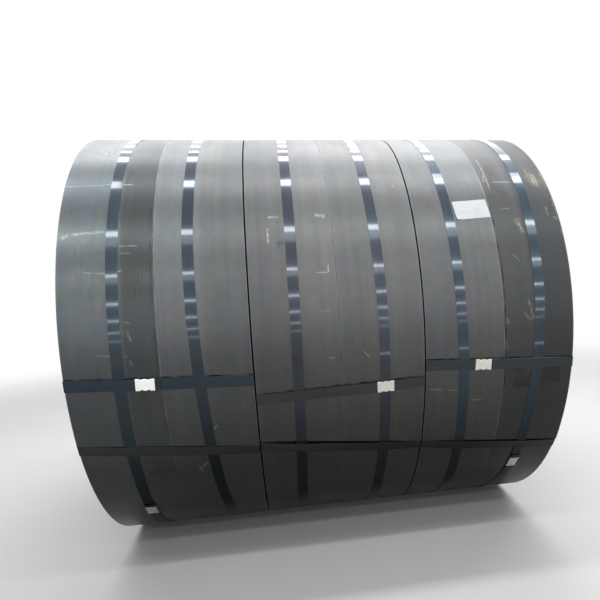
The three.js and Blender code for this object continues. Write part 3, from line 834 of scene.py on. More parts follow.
@dataclass
class SlitCoil:
    """One coil of slit strip: the spiral barrel with its sprung tail, the bore, and both ends."""

    number: int
    pair: Pair
    finish: MillScale
    open_end: OpenEnd = OpenEnd.NONE
    steps: tuple[Ends, ...] = ()  # turns that stand in: share of the wall from outside, set-in
    stations: int = 144  # points in one turn
    rings: int = 13  # outlines of the barrel between its two ends
    ring_margin: float = 9.0  # from a face to the nearest of them
    edge_break: float = 0.45  # rounding of the slit edges
    wander: float = 0.75  # how unevenly the turns of an open end stand in
    wander_run: int = 60  # stations over which that changes
    gap_level: float = 0.78  # a turn lies loose where a slow noise is over this
    gap_run: int = 200  # stations over which that noise changes
    gap_depth: float = 2.0  # how much deeper the groove beside a loose turn is
    gap_break: float = 0.3  # and how much wider it opens
    span: Ends = field(init=False)

    def __post_init__(self) -> None:
        """Reads the coil's place from the frame."""
        self.span = coil_span(self.number)

    @property
    def step(self) -> float:
        """Returns the degrees from one station to the next."""
        return 360.0 / self.stations

    @property
    def split(self) -> int:
        """Returns how many stations of the tail are clear of the wrap below."""
        return math.ceil(SPRUNG_ARC / self.step)

    def face(self, side: int) -> float:
        """Returns where a face is: the left one for side -1, the right one for 1."""
        return self.span[0] if side < 0 else self.span[1]

    def winding(self, x: float) -> tuple[int, float]:
        """Finds the whole winding at x, so that it ends at the head of the strip.

        Args:
            x: Distance along the axis.

        Returns:
            Its number of stations, and what each turn takes off the radius.
        """
        wall = COIL_RADIUS - BORE_RADIUS - STRIP_THICKNESS
        part = ((HEAD_ANGLE - self.pair.tail_at(x)) / 360.0) % 1.0
        turns = round(wall / STRIP_THICKNESS - part) + part
        count = round(turns * self.stations)
        return count, wall * self.stations / count

    def outline(self, x: float, inset: float = 0.0, plane: Optional[float] = None) -> np.ndarray:
        """Draws the outside of the coil at x: over the wraps from the tail, then back under it.

        Args:
            x: Distance along the axis at which the tail and its lift are taken.
            inset: How far the outline is drawn in, for a broken edge.
            plane: Where along the axis the points lie, if not at x.

        Returns:
            A closed loop of points.
        """
        _, pitch = self.winding(x)
        over = self.step * np.arange(self.stations + self.split + 1)
        outer = self.pair.wrap_radius(x, over, pitch) - inset
        outer[-1] += inset
        under = self.step * np.arange(self.split)[::-1]
        inner = self.pair.wrap_radius(x, under, pitch) - STRIP_THICKNESS + inset
        turned = np.concatenate([over, under])
        radius = np.concatenate([outer, inner])
        return on_axis(x if plane is None else plane, self.pair.tail_at(x) + turned, radius)

    def bore(self, x: float, inset: float = 0.0) -> np.ndarray:
        """Draws the bore, from the head of the strip once round to its underside.

        Args:
            x: Where along the axis the points lie.
            inset: How far the loop is drawn out, for a broken edge.

        Returns:
            A closed loop of points.
        """
        turned = self.step * np.arange(self.stations + 1)
        radius = BORE_RADIUS + STRIP_THICKNESS * (1 - turned / 360.0) + inset
        return on_axis(x, HEAD_ANGLE + turned, radius)

    def slow_noise(self, count: int, run: int, seed: int) -> np.ndarray:
        """Draws a value from 0 to 1 at each station, with a new turn of its wander after each run of them."""
        draws = np.random.default_rng(seed + self.number).uniform(size=count // run + 3)
        return np.interp(np.arange(count + 1) / run, np.arange(len(draws)), draws)

    def set_in(self, count: int) -> np.ndarray:
        """Finds how far each station of an open end stands in from the coil's face.

        Args:
            count: Stations in the winding.

        Returns:
            The set-in of each station.
        """
        share = np.arange(count + 1) / count
        base = np.zeros(count + 1)
        for place, depth in self.steps:
            base[share > place] = depth
        return base + self.wander * self.slow_noise(count, self.wander_run, WANDER_SEED)

    def add_open_end(self, draft: MeshDraft, side: int) -> Loops:
        """Adds an end whose turns show: the strip's edge all along the spiral, with its grooves.

        Args:
            draft: The coil's mesh.
            side: -1 for the left end, 1 for the right.

        Returns:
            The numbers of the points round the barrel and round the bore.
        """
        face = self.face(side)
        count, pitch = self.winding(face)
        turned = self.step * np.arange(count + 1)
        radius = self.pair.wrap_radius(face, turned, pitch)
        back = self.set_in(count)
        loose = self.slow_noise(count, self.gap_run, GAP_SEED) > self.gap_level
        depth = self.edge_break + self.gap_depth * loose
        before = np.concatenate([np.zeros(self.stations), back[:-self.stations]])

        def line(inward: np.ndarray, below: np.ndarray) -> np.ndarray:
            """Returns a line along the strip's edge, inward from the face and below the strip's outside."""
            return on_axis(face - side * inward, self.pair.tail_at(face) + turned, radius - below)

        groove = draft.add_points(line(np.maximum(back, before) + depth, 0.0))
        outer = draft.add_points(line(back, self.edge_break + self.gap_break * loose))
        inner = draft.add_points(line(back, STRIP_THICKNESS - self.edge_break))
        under = line(back + depth, STRIP_THICKNESS)
        tail = draft.add_points(under[:self.split])
        bore = draft.add_points(under[count - self.stations + 1:])
        # Between its two ends the underside of each turn is the groove of the next.
        under = np.concatenate([tail, groove[self.stations + self.split:], bore])

        strip = np.stack([groove, outer, inner, under], axis=1)
        across = radius[:, None] - STRIP_THICKNESS * np.array([0.0, 0.3, 0.7, 1.0])
        arc = np.cumsum(np.full(count + 1, math.radians(self.step)) * radius)
        uv = np.stack([across, np.broadcast_to(arc[:, None], across.shape)], axis=2) * MM
        draft.add_grid(strip, uv, slot=SHEARED, flip=side < 0)
        draft.add_faces(strip[:1, ::-side], uv[0], slot=SHEARED)
        draft.add_faces(strip[-1:, ::side], uv[-1], slot=SHEARED)
        barrel = np.concatenate([groove[:self.stations + self.split + 1], tail[::-1]])
        return barrel, np.concatenate([groove[-1:], bore])

    def add_closed_end(self, draft: MeshDraft, side: int) -> Loops:
        """Adds a plain end, for one that lies against the next coil.

        Args:
            draft: The coil's mesh.
            side: -1 for the left end, 1 for the right.

        Returns:
            The numbers of the points round the barrel and round the bore.
        """
        face = self.face(side)
        broken = face - side * self.edge_break
        barrel = draft.add_points(self.outline(face, plane=broken))
        bore = draft.add_points(self.bore(broken))
        rim, lip = self.outline(face, inset=self.edge_break), self.bore(face, inset=self.edge_break)
        rim_ids, lip_ids = draft.add_points(rim), draft.add_points(lip)
        for edge, ring, points, flip in ((barrel, rim_ids, rim, side > 0), (bore, lip_ids, lip, side < 0)):
            band = np.stack([np.append(edge, edge[0]), np.append(ring, ring[0])], axis=1)
            flat = np.append(points[:, 1:], points[:1, 1:], axis=0) * MM
            draft.add_grid(band, np.stack([flat, flat], axis=1), slot=SHEARED, flip=flip)

        # The flat of the end is cut into triangles between the rim and the lip.
        corners = np.concatenate([rim, lip])[:, 1:]
        numbers = np.concatenate([rim_ids, lip_ids])
        wall = len(rim)
        loops = [(i, (i + 1) % wall) for i in range(wall)]
        loops += [(wall + i, wall + (i + 1) % len(lip)) for i in range(len(lip))]
        found = delaunay_2d_cdt([Vector(c) for c in corners], loops, [], 1, 1e-6)
        source = [given[0] for given in found[3]]
        faces = np.array([[source[i] for i in triangle] for triangle in found[2]])
        faces = faces[(faces < wall).any(axis=1)]
        a, b, c = (corners[faces[:, i]] for i in range(3))
        turns_left = (b - a)[:, 0] * (c - a)[:, 1] - (b - a)[:, 1] * (c - a)[:, 0] > 0
        faces = np.where((turns_left == (side > 0))[:, None], faces, faces[:, ::-1])
        draft.add_faces(numbers[faces], corners[faces] * MM, slot=SHEARED)
        return barrel, bore

    def add_walls(self, draft: MeshDraft, left: Loops, right: Loops) -> None:
        """Adds the barrel and the bore between the two ends.

        Args:
            draft: The coil's mesh.
            left: The points round the barrel and the bore at the left end.
            right: The same at the right end.
        """
        def sheet(rows: list[np.ndarray], places: list[float],
                  arc: np.ndarray) -> tuple[np.ndarray, np.ndarray]:
            """Returns loops of points as a closed grid, and its strip coordinates."""
            x, v = np.meshgrid(places, arc, indexing="ij")
            return np.array([np.append(row, row[0]) for row in rows]), np.stack([x, v], axis=2) * MM

        start, end = self.span
        rings = np.linspace(start + self.ring_margin, end - self.ring_margin, self.rings)
        rows = [left[0], *(draft.add_points(self.outline(x)) for x in rings), right[0]]
        turned = np.concatenate([np.arange(self.stations + self.split + 1), np.arange(self.split)[::-1], [0]])
        barrel, uv = sheet(rows, [start, *rings, end], np.radians(self.step * turned) * COIL_RADIUS)
        draft.add_grid(barrel[:, :-1], uv[:, :-1], flip=True)
        draft.add_grid(barrel[:, -2:], uv[:, -2:], slot=SHEARED, flip=True)
        middle = sum(self.span) / 2
        rows = [left[1], draft.add_points(self.bore(middle)), right[1]]
        turned = np.arange(self.stations + 2)
        draft.add_grid(*sheet(rows, [start, middle, end], np.radians(self.step * turned) * BORE_RADIUS))

    def build(self) -> bpy.types.Object:
        """Makes the coil in place of its solid.

        Returns:
            The coil, which isn't dressed yet.
        """
        draft = MeshDraft()
        ends = []
        for side in (-1, 1):
            add_end = self.add_open_end if self.open_end.value == side else self.add_closed_end
            ends.append(add_end(draft, side))
        self.add_walls(draft, *ends)
        piece = draft.make(f"coil_{self.number}_wound_strip", sharp_angle=24.0)
        take_place(piece, f"slit_coil_{self.number}", f"coil_steel_{self.number}")
        return piece

    def dress(self, piece: bpy.types.Object, edge: bpy.types.Material) -> None:
        """Gives the coil its scale, and its edges their sheared steel."""
        piece.data.materials.append(self.finish.build(self.pair, self.span))
        piece.data.materials.append(edge)


# ---------------- strapping


@dataclass
class Strapping:
    """Flat steel strapping along a path, with rounded edges and a free end past its seal."""

    width: float = STRAP_WIDTH
    thickness: float = STRAP_THICKNESS
    rounding: float = 0.3

    def section(self) -> np.ndarray:
        """Draws the outline across the strap.

        Returns:
            Rows (across, up), from the right end of its underside.
        """
        half, top, r = self.width / 2, self.thickness, self.rounding
        right = [(half - r, 0.0), (half, r), (half, top - r), (half - r, top)]
        left = [(-x, y) for x, y in reversed(right)]
        crown = [(half / 2, top), (0.0, top), (-half / 2, top)]
        floor = [(-half / 2, 0.0), (0.0, 0.0), (half / 2, 0.0)]
        return np.array(right + crown + left + floor)

    def add_run(self, draft: MeshDraft, path: np.ndarray, normals: np.ndarray) -> None:
        """Adds a closed band along a path.

        Args:
            draft: The strap's mesh.
            path: Points along the middle of its underside.
            normals: Directions away from what it lies on.
        """
        along = unit(np.gradient(path, axis=0))
        sideways = unit(np.cross(normals, along))
        outline = self.section()
        points = (path[:, None] + sideways[:, None] * outline[None, :, :1]
                  + unit(normals)[:, None] * outline[None, :, 1:])
        numbers = draft.add_points(points)
        length = np.concatenate([[0.0], np.cumsum(np.linalg.norm(np.diff(path, axis=0), axis=1))])
        closed = np.concatenate([numbers, numbers[:, :1]], axis=1)
        across = np.append(outline[:, 0], outline[0, 0])
        uv = np.stack(np.broadcast_arrays(across[None, :], length[:, None]), axis=2) * MM
        draft.add_grid(closed, uv, flip=True)
        for row, turn in ((0, 1), (-1, -1)):
            draft.add_faces(numbers[row][None, ::turn], uv[row, :-1][::turn])

    def lay(self, name: str, node: str, steel: BluedSteel, path: list[Station]) -> None:
        """Makes a strap in place of its solid.

        Args:
            name: Name of the piece.
            node: The solid's name.
            steel: Its finish.
            path: Its stations, from one end to the other.
        """
        draft = MeshDraft()
        self.add_run(draft, np.array([point for point, _ in path]), np.array([normal for _, normal in path]))
        take_place(draft.make(name, STRAP_SHARP), node, "blued_strap", steel.build())


@dataclass
class Seal:
    """A folded seal, crimped twice on each side, about the strap ends it holds."""

    name: str
    node: str
    finish: ZincPlate
    wall: float = 0.9  # thickness of its sheet
    play: float = 0.3  # between the sheet and the strap
    lip: float = 11.0  # width of the sheet folded in under the strap
    fold: float = 0.7  # size of a fold
    bevel: float = 0.2  # how far a fold's corner is cut
    crimp: float = 7.0  # length of a crimp's window
    pinch: float = 0.045  # share of the width that a crimp takes away
    pinch_reach: float = 5.0  # distance along the seal over which that dies away
    # The middle of a lug's sheet: how far in from the sleeve's side, and how far up.
    lug: tuple[tuple[float, float], ...] = ((3.4, 2.7), (2.0, 2.5), (1.2, 1.7), (0.9, 0.4), (0.7, -0.7))
    lug_play: float = 0.4  # between a lug and the ends of its window
    columns: int = 29  # stations along the seal

    def sleeve(self) -> np.ndarray:
        """Draws the middle of the folded sheet across the seal.

        Returns:
            Rows (across, up), from one lip to the other.
        """
        half = STRAP_WIDTH / 2 + self.play + self.wall / 2
        low = -self.play - self.wall / 2
        top = LAY + STRAP_THICKNESS + self.play + self.wall / 2
        fold, bevel = self.fold, self.bevel
        under, near, far = 5.0, 3.2, 8.0  # how far in its flats have points between
        right = [(half - self.lip, low), (half - under, low), (half - fold, low), (half - bevel, low + bevel),
                 (half, low + fold), (half, (low + top) / 2), (half, top - fold), (half - bevel, top - bevel),
                 (half - fold, top), (half - near, top), (half - far, top)]
        left = [(-x, y) for x, y in reversed(right)]
        return np.array(right + [(0.0, top)] + left)

    def add_sheet(self, draft: MeshDraft) -> None:
        """Adds the folded sheet, with a window at each crimp.

        Args:
            draft: The seal's mesh, about its own middle: across, up and along.
        """
        sheet = self.sleeve()
        along = np.linspace(-SEAL_LENGTH / 2, SEAL_LENGTH / 2, self.columns)
        tangent = unit(np.gradient(sheet, axis=0))
        normal = np.stack([tangent[:, 1], -tangent[:, 0]], axis=1)
        narrowed = 1 - self.pinch * np.exp(-((np.abs(along) - CRIMP_PLACE) / self.pinch_reach) ** 2)
        skins = []
        for side in (1, -1):
            rows = sheet + side * normal * self.wall / 2
            grid = np.stack(np.broadcast_arrays(rows[:, :1] * narrowed, rows[:, 1:], along), axis=2)
            skins.append(draft.add_points(grid))
        middle = (along[:-1] + along[1:]) / 2
        crimped = np.abs(np.abs(middle) - CRIMP_PLACE) < self.crimp / 2
        first, past = 2, 9  # stretch of the sheet that a crimp opens, from either lip
        folded = np.zeros(len(sheet) - 1, bool)
        folded[first:past] = folded[-past:-first] = True
        kept = ~(folded[:, None] & crimped[None, :])
        for skin, flip in zip(skins, (True, False)):
            quads = cells(skin)[kept.ravel()]
            draft.add_faces(quads[:, ::-1] if flip else quads)
        self.close_edges(draft, skins, kept)

    def close_edges(self, draft: MeshDraft, skins: list[np.ndarray], kept: np.ndarray) -> None:
        """Closes the sheet's thickness wherever a kept cell borders nothing.

        Args:
            draft: The seal's mesh.
            skins: The point numbers of the outer and the inner skin.
            kept: Which cells of the sheet are there.
        """
        there = np.pad(kept, 1)
        outer, inner = skins
        rows, columns = np.nonzero(kept)
        # Of each side of a cell: the way to its neighbour, and the side's two corners.
        sides = ((-1, 0, (0, 0), (0, 1)), (1, 0, (1, 1), (1, 0)),
                 (0, -1, (1, 0), (0, 0)), (0, 1, (0, 1), (1, 1)))
        for down, right, start, end in sides:
            open_side = ~there[rows + 1 + down, columns + 1 + right]
            r, c = rows[open_side], columns[open_side]
            a, b = (r + start[0], c + start[1]), (r + end[0], c + end[1])
            quads = np.stack([outer[a], outer[b], inner[b], inner[a]], axis=1)
            draft.add_faces(quads[:, ::-1])

    def add_lugs(self, draft: MeshDraft) -> None:
        """Adds the lugs that each crimp has cut from the sheet and bent in under the strap's edges.

        Args:
            draft: The seal's mesh.
        """
        half = STRAP_WIDTH / 2 + self.play
        path = np.array([(half - inward, up) for inward, up in self.lug])
        thick = unit(np.gradient(path, axis=0))
        normal = np.stack([-thick[:, 1], thick[:, 0]], axis=1) * self.wall / 2
        ring = np.concatenate([path + normal, (path - normal)[::-1]])
        reach = self.crimp / 2 - self.lug_play
        for side in (-1, 1):
            for place in (-CRIMP_PLACE, CRIMP_PLACE):
                low, high = (draft.add_points(np.insert(ring * (side, 1), 2, z, axis=1))
                             for z in (place - reach, place + reach))
                draft.add_grid(np.array([np.append(row, row[0]) for row in (low, high)]), flip=side < 0)
                for cap in (low[::-side], high[::side]):
                    draft.add_faces(cap[None])

    def build(self, start: np.ndarray, end: np.ndarray, up: np.ndarray) -> None:
        """Makes the seal in place of its solid, over the flat stretch of strap between two points.

        Args:
            start: Where the strap enters it, on the strap's underside.
            end: Where the strap leaves it.
            up: Direction away from the steel.
        """
        draft = MeshDraft()
        self.add_sheet(draft)
        self.add_lugs(draft)
        along = unit(end - start)
        across = unit(np.cross(up, along))
        axes = np.stack([across, np.cross(along, across), along])
        draft.points = [points @ axes + (start + end) / 2 for points in draft.points]
        take_place(draft.make(self.name, sharp_angle=40.0), self.node, "zinc_seal", self.finish.build())


@dataclass
class BellyStrap:
    """The strap round the belly of one coil, and its seal."""

    number: int
    pair: Pair
    route: BellyRoute
    tone: str  # colour of its blued steel
    zinc: ZincPlate
    strapping: Strapping = field(default_factory=Strapping)
    step: float = 1.5  # degrees between stations
    tail_stations: int = 7  # over the sprung part of the tail
    spring: float = 0.6  # how far its upper end stands up
    unshadowed_slot: float = 3.0  # widest slot below the tails that leaves it without a painted shadow

    @property
    def middle(self) -> float:
        """Returns the middle of its coil."""
        return sum(coil_span(self.number)) / 2

    def x_at(self, angle: np.ndarray) -> np.ndarray:
        """Returns the strap's place along the axis at an angle."""
        return self.middle + self.route.offset(angle)

    @property
    def steel(self) -> BluedSteel:
        """Finds its finish, with a painted shadow where it crosses a wide slot below the tails.

        Returns:
            The finish.
        """
        tail = self.pair.tail_at(self.middle)
        slot = float(self.pair.across(self.pair.tail_slot, self.middle))
        heights = tuple(float(on_axis(0.0, tail - math.degrees(drop / COIL_RADIUS), COIL_RADIUS)[2])
                        for drop in (slot, 0.0))
        return BluedSteel(f"blued_strap_{self.number}", self.number, self.tone,
                          slot_shadow=heights if slot > self.unshadowed_slot else None)

    def loop(self) -> np.ndarray:
        """Finds the taut loop that the strap makes over the wraps, the sprung tail and its own seal.

        Returns:
            Rows (angle, radius), in turn upwards from the seal.
        """
        pair, seal = self.pair, self.route.seal
        tail_x = float(self.x_at(pair.tail_at(self.middle)))
        tail = pair.tail_at(tail_x)
        turned = np.concatenate([np.linspace(0, SPRUNG_ARC, self.tail_stations),
                                 np.arange(SPRUNG_ARC + 1, 360.0, self.step)])
        wraps = np.stack([tail + turned, pair.wrap_radius(tail_x, turned) + STRAP_GAP], axis=1)
        lips = [(pair.tail_at(x), pair.wrap_radius(x, 0.0) + STRAP_GAP)
                for x in (tail_x - STRAP_WIDTH / 2, tail_x + STRAP_WIDTH / 2)]
        from_tail = (seal - pair.tail_at(float(self.x_at(seal)))) % 360.0
        distance = float(pair.wrap_radius(0.0, from_tail)) + SEAL_UNDER
        half = math.atan2(SEAL_SEAT, distance)
        seat = [(seal + side * math.degrees(half), distance / math.cos(half)) for side in (-1, 1)]
        places = np.concatenate([wraps, lips, seat])
        corners = taut(on_axis(0.0, places[:, 0], places[:, 1])[:, 1:] - np.array([0.0, AXIS_HEIGHT]))
        found = np.stack([np.degrees(np.arctan2(corners[:, 1], -corners[:, 0])),
                          np.hypot(corners[:, 0], corners[:, 1])], axis=1)
        return found[np.argsort((found[:, 0] - seal) % 360.0)]

    def build(self) -> None:
        """Makes the strap and its seal in place of their solids."""
        angle, radius = self.loop().T
        path = on_axis(self.x_at(angle), angle, radius)
        up = outward(angle)

        def at(corner: int, lift: float = 0.0) -> Station:
            """Returns a station over one of the loop's corners."""
            return path[corner] + lift * up[corner], up[corner]

        def beyond(corner: int, neighbour: int, lift: float = 0.0) -> Station:
            """Returns the strap's free end, past one corner towards the next."""
            start, normal = at(corner, lift)
            return start + unit(at(neighbour, lift)[0] - start) * STRAP_OVERLAP, normal

        stations = [beyond(-1, -2), at(-1), *(at(corner) for corner in range(len(path) - 1)),
                    beyond(-1, -2, LAY), at(-1, LAY), at(0, LAY), beyond(0, 1, LAY + self.spring)]
        number = self.number
        self.strapping.lay(f"coil_{number}_belly_strap", f"belly_strap_{number}", self.steel, stations)
        seal = Seal(f"coil_{number}_belly_seal", f"belly_seal_{number}", self.zinc)
        seal.build(path[-1], path[0], up[-1] + up[0])


class EyePlace(Enum):
    """Where round its pair an eye strap lies. The value starts the names of its nodes."""

    FRONT = "front"
    TAIL = "tail"
    BACK = "back"


@dataclass
class EyeStrap:
    """A strap through the bore of one pair and back over the outside, and its seal."""

    place: EyePlace
    pair: Pair
    steel: BluedSteel
    zinc: ZincPlate
    bellies: tuple[BellyStrap, ...]  # the belly straps it crosses
    strapping: Strapping = field(default_factory=Strapping)
    bend: float = 1.6  # inside radius of its bends round the coils' edges
    bend_parts: int = 6  # straight parts in a bend
    run_stations: int = 24  # over the outside, and as many in the bore
    bore_run: float = 302.6  # distance of its run in the bore from the axis
    spring: float = 0.8  # how far its upper end stands up
    start_margin: float = 2.0  # from its lower end to where the upper layer starts to rise
    rim: float = 0.5  # how far in from a face it bears on a coil's edge

    @property
    def angles(self) -> Ends:
        """Finds how it lies round the pair.

        Returns:
            Its angle at the pair's left and right face.
        """
        if self.place is EyePlace.FRONT:
            return self.pair.front_eye
        if self.place is EyePlace.BACK:
            return self.pair.back_eye
        left, right = (tail - math.degrees((slot + STRAP_WIDTH / 2) / COIL_RADIUS)
                       for tail, slot in zip(self.pair.tail, self.pair.tail_slot))
        return left, right

    @property
    def seal_x(self) -> float:
        """Returns where along the axis the middle of its seal is."""
        offsets = dict(zip(EyePlace, (self.pair.front_seal, self.pair.tail_seal, self.pair.back_seal)))
        return self.pair.middle + offsets[self.place]

    def angle_at(self, x: float) -> float:
        """Returns its angle at x."""
        return float(self.pair.across(self.angles, x))

    def bearing(self, x: float) -> float:
        """Returns the distance from the axis at which it bears on a coil's edge."""
        turned = (self.angle_at(x) - self.pair.tail_at(x)) % 360.0
        return float(self.pair.wrap_radius(x, turned)) + STRAP_GAP

    def over_belly(self, belly: BellyStrap) -> tuple[float, float]:
        """Finds where it crosses a belly strap.

        Args:
            belly: The belly strap.

        Returns:
            Where along the axis that is, and how far from the axis this strap lies there.
        """
        loop = belly.loop()
        angle = self.angle_at(belly.middle)
        order = np.argsort((loop[:, 0] - angle) % 360.0)
        before, after = loop[order[-1]], loop[order[0]]
        share = ((angle - before[0]) % 360.0) / ((after[0] - before[0]) % 360.0)
        radius = before[1] + share * (after[1] - before[1])
        return float(belly.x_at(angle)), radius + STRAP_THICKNESS + STRAP_GAP

    def outer_profile(self) -> np.ndarray:
        """Finds the taut run over the outside: over the coils' edges, the belly straps and the seal.

        Returns:
            Rows (x, radius) from left to right.
        """
        pair = self.pair
        ends = pair.left + self.rim, pair.right - self.rim
        held = [(ends[0], self.bearing(pair.left)), (ends[1], self.bearing(pair.right))]
        for x, top in (self.over_belly(belly) for belly in self.bellies):
            held += [(x - STRAP_WIDTH / 2, top), (x + STRAP_WIDTH / 2, top)]
        if self.place is not EyePlace.TAIL:
            seat = max(top for _, top in held) + SEAL_UNDER - STRAP_GAP
            held += [(self.seal_x - SEAL_SEAT, seat), (self.seal_x + SEAL_SEAT, seat)]
        # Two points at the axis close the outline, and are left out again.
        closed = taut(np.array(held + [(end, 0.0) for end in ends]))
        run = closed[closed[:, 1] > 0.0]
        return run[np.argsort(run[:, 0])]

    def station(self, x: float, radius: float, lean: float) -> Station:
        """Places one station of the path.

        Args:
            x: Distance along the axis.
            radius: Distance from the axis.
            lean: Turn of the strap's normal from outwards, clockwise seen from the front, in degrees.

        Returns:
            The point and the strap's normal there.
        """
        angle, turn = self.angle_at(x), math.radians(lean)
        normal = outward(angle) * math.cos(turn)
        normal[0] = math.sin(turn)
        return on_axis(x, angle, radius), normal

    def corner(self, x: float, radius: float, start: float) -> list[Station]:
        """Lays a quarter bend.

        Args:
            x: Distance of its middle along the axis.
            radius: Distance of its middle from the axis.
            start: Lean of the strap's normal where it starts, in degrees.

        Returns:
            Its stations.
        """
        turns = [start + 90.0 * part / self.bend_parts for part in range(self.bend_parts + 1)]
        return [self.station(x + self.bend * math.sin(math.radians(turn)),
                             radius + self.bend * math.cos(math.radians(turn)), turn) for turn in turns]

    def stations(self) -> list[Station]:
        """Lays the whole path, from the strap's lower end in the seal to its upper end.

        Returns:
            Its stations. The seal is between the second and the third.
        """
        profile = self.outer_profile()
        left = self.pair.left - STRAP_GAP + self.bend
        right = self.pair.right + STRAP_GAP - self.bend

        def outside(x: float, lift: float = 0.0) -> Station:
            """Returns a station over the outside."""
            return self.station(x, float(np.interp(x, profile[:, 0], profile[:, 1])) + lift, 0.0)

        def inside(x: float, lift: float = 0.0) -> Station:
            """Returns a station in the bore."""
            return self.station(x, self.bore_run - lift, 180.0)

        out_in = [*self.corner(right, profile[-1, 1] - self.bend, 0.0),
                  *self.corner(right, self.bore_run + self.bend, 90.0)]
        in_out = [*self.corner(left, self.bore_run + self.bend, 180.0),
                  *self.corner(left, profile[0, 1] - self.bend, 270.0)]
        xs = np.linspace(left, right, self.run_stations + 2)[1:-1]
        sealed, plain, ahead, behind, way = outside, inside, out_in, in_out, 1
        if self.place is EyePlace.TAIL:
            sealed, plain, ahead, behind, way = inside, outside, in_out, out_in, -1

        def at(along: float, lift: float = 0.0) -> Station:
            """Returns a station by its distance along the strap from the seal."""
            return sealed(self.seal_x + way * along, lift)

        half, reach = SEAL_LENGTH / 2, SEAL_LENGTH / 2 + STRAP_OVERLAP
        run = xs[::way]
        from_seal = way * (run - self.seal_x)
        after = [sealed(x) for x in run[from_seal > reach]]
        before = [sealed(x) for x in run[from_seal < -2 * reach]]
        lower = [at(-reach), at(-half), at(half)]
        upper = [at(-2 * reach), at(-reach - self.start_margin, LAY), at(-half, LAY), at(half, LAY),
                 at(reach, LAY + self.spring)]
        return [*lower, *after, *ahead, *(plain(x) for x in run[::-1]), *behind, *before, *upper]

    def build(self) -> None:
        """Makes the strap and its seal in place of their solids."""
        number, stem = self.pair.number, f"{self.place.value}_eye"
        path = self.stations()
        self.strapping.lay(f"pair_{number}_{stem}_strap", f"{stem}_strap_{number}", self.steel, path)
        (start, start_up), (end, end_up) = path[1:3]
        seal = Seal(f"pair_{number}_{stem}_seal", f"{stem}_seal_{number}", self.zinc)
        seal.build(start, end, start_up + end_up)


# ---------------- label


@dataclass
class PaperLabel:
    """The paper label stuck on one coil, with a lower corner that has started to lift."""

    number: int  # of its coil
    pair: Pair
    route: BellyRoute  # of the belly strap on its left
    width: float = 113.0
    height: float = 71.0
    angle: float = 32.5
    tilt: float = 4.0  # degrees, its right end up
    margin: float = 5.2  # from the belly strap
    thickness: float = 0.2
    clearance: float = 0.25
    curl: float = 3.0  # how far the loose corner stands off
    loose: float = 26.0  # how far from the corner it has come loose
    columns: int = 25  # points along its width
    rows: int = 17
    finish: LabelPaper = LabelPaper("uncoated_label_paper", 2.0)

    def build(self) -> None:
        """Makes the label in place of its solid."""
        u, v = np.meshgrid(np.linspace(0, 1, self.columns), np.linspace(0, 1, self.rows), indexing="ij")
        cos, sin = math.cos(math.radians(self.tilt)), math.sin(math.radians(self.tilt))
        side, up = (u - 0.5) * self.width, (v - 0.5) * self.height
        strap = sum(coil_span(self.number)) / 2 + float(self.route.offset(self.angle)) + STRAP_WIDTH / 2
        x = strap + self.margin + (self.width * cos + self.height * sin) / 2 + side * cos - up * sin
        angle = self.angle + np.degrees((side * sin + up * cos) / COIL_RADIUS)
        loose = np.clip(1 - np.hypot(u * self.width, v * self.height) / self.loose, 0, 1)
        from_tail = angle - self.pair.across(self.pair.tail, x)
        radius = self.pair.wrap_radius(x, from_tail) + self.clearance + self.curl * loose**2
        draft = MeshDraft()
        low, high = (draft.add_points(on_axis(x, angle, radius + lift)) for lift in (0.0, self.thickness))
        uv = np.stack([u * self.width, v * self.height], axis=2) * MM
        draft.add_grid(low, uv)
        draft.add_grid(high, uv, flip=True)
        for edge, flip in ((np.s_[0, :], False), (np.s_[-1, :], True),
                           (np.s_[:, 0], True), (np.s_[:, -1], False)):
            draft.add_grid(np.stack([low[edge], high[edge]]), np.stack([uv[edge], uv[edge]]), flip=flip)
        piece = draft.make(f"coil_{self.number}_paper_label")
        take_place(piece, "label", "label_paper", self.finish.build(self.width))


# ---------------- studio


POWER_SHARE = 4  # watts of an area light for each square metre and unit of radiance


@dataclass(frozen=True)
class StripLight:
    """A long, narrow soft box parallel to the coils."""

    elevation: float  # seen from the coils' front: 0 level, 90 overhead
    spread: float  # how many degrees it covers
    radiance: float
    colour: str = "#ffffff"
    distance: float = 4.0
    length: float = 6.0
    along: float = 0.3  # of its middle

    def build(self) -> None:
        """Makes the light, aimed at the coils' axis."""
        height = 2 * self.distance * math.tan(math.radians(self.spread) / 2)
        data = bpy.data.lights.new(f"strip_light_{self.elevation:.0f}", "AREA")
        data.shape = "RECTANGLE"
        data.size, data.size_y = self.length, height
        data.energy = POWER_SHARE * self.length * height * self.radiance
        data.color = srgb(self.colour)[:3]
        light = bpy.data.objects.new(data.name, data)
        turn = math.radians(self.elevation)
        away = Vector((0.0, -math.cos(turn), math.sin(turn)))
        light.location = Vector((self.along, 0.0, AXIS_HEIGHT * MM)) + away * self.distance
        light.rotation_euler = Euler((math.radians(90.0) - turn, 0.0, 0.0))
        light.visible_camera = False
        bpy.context.scene.collection.objects.link(light)


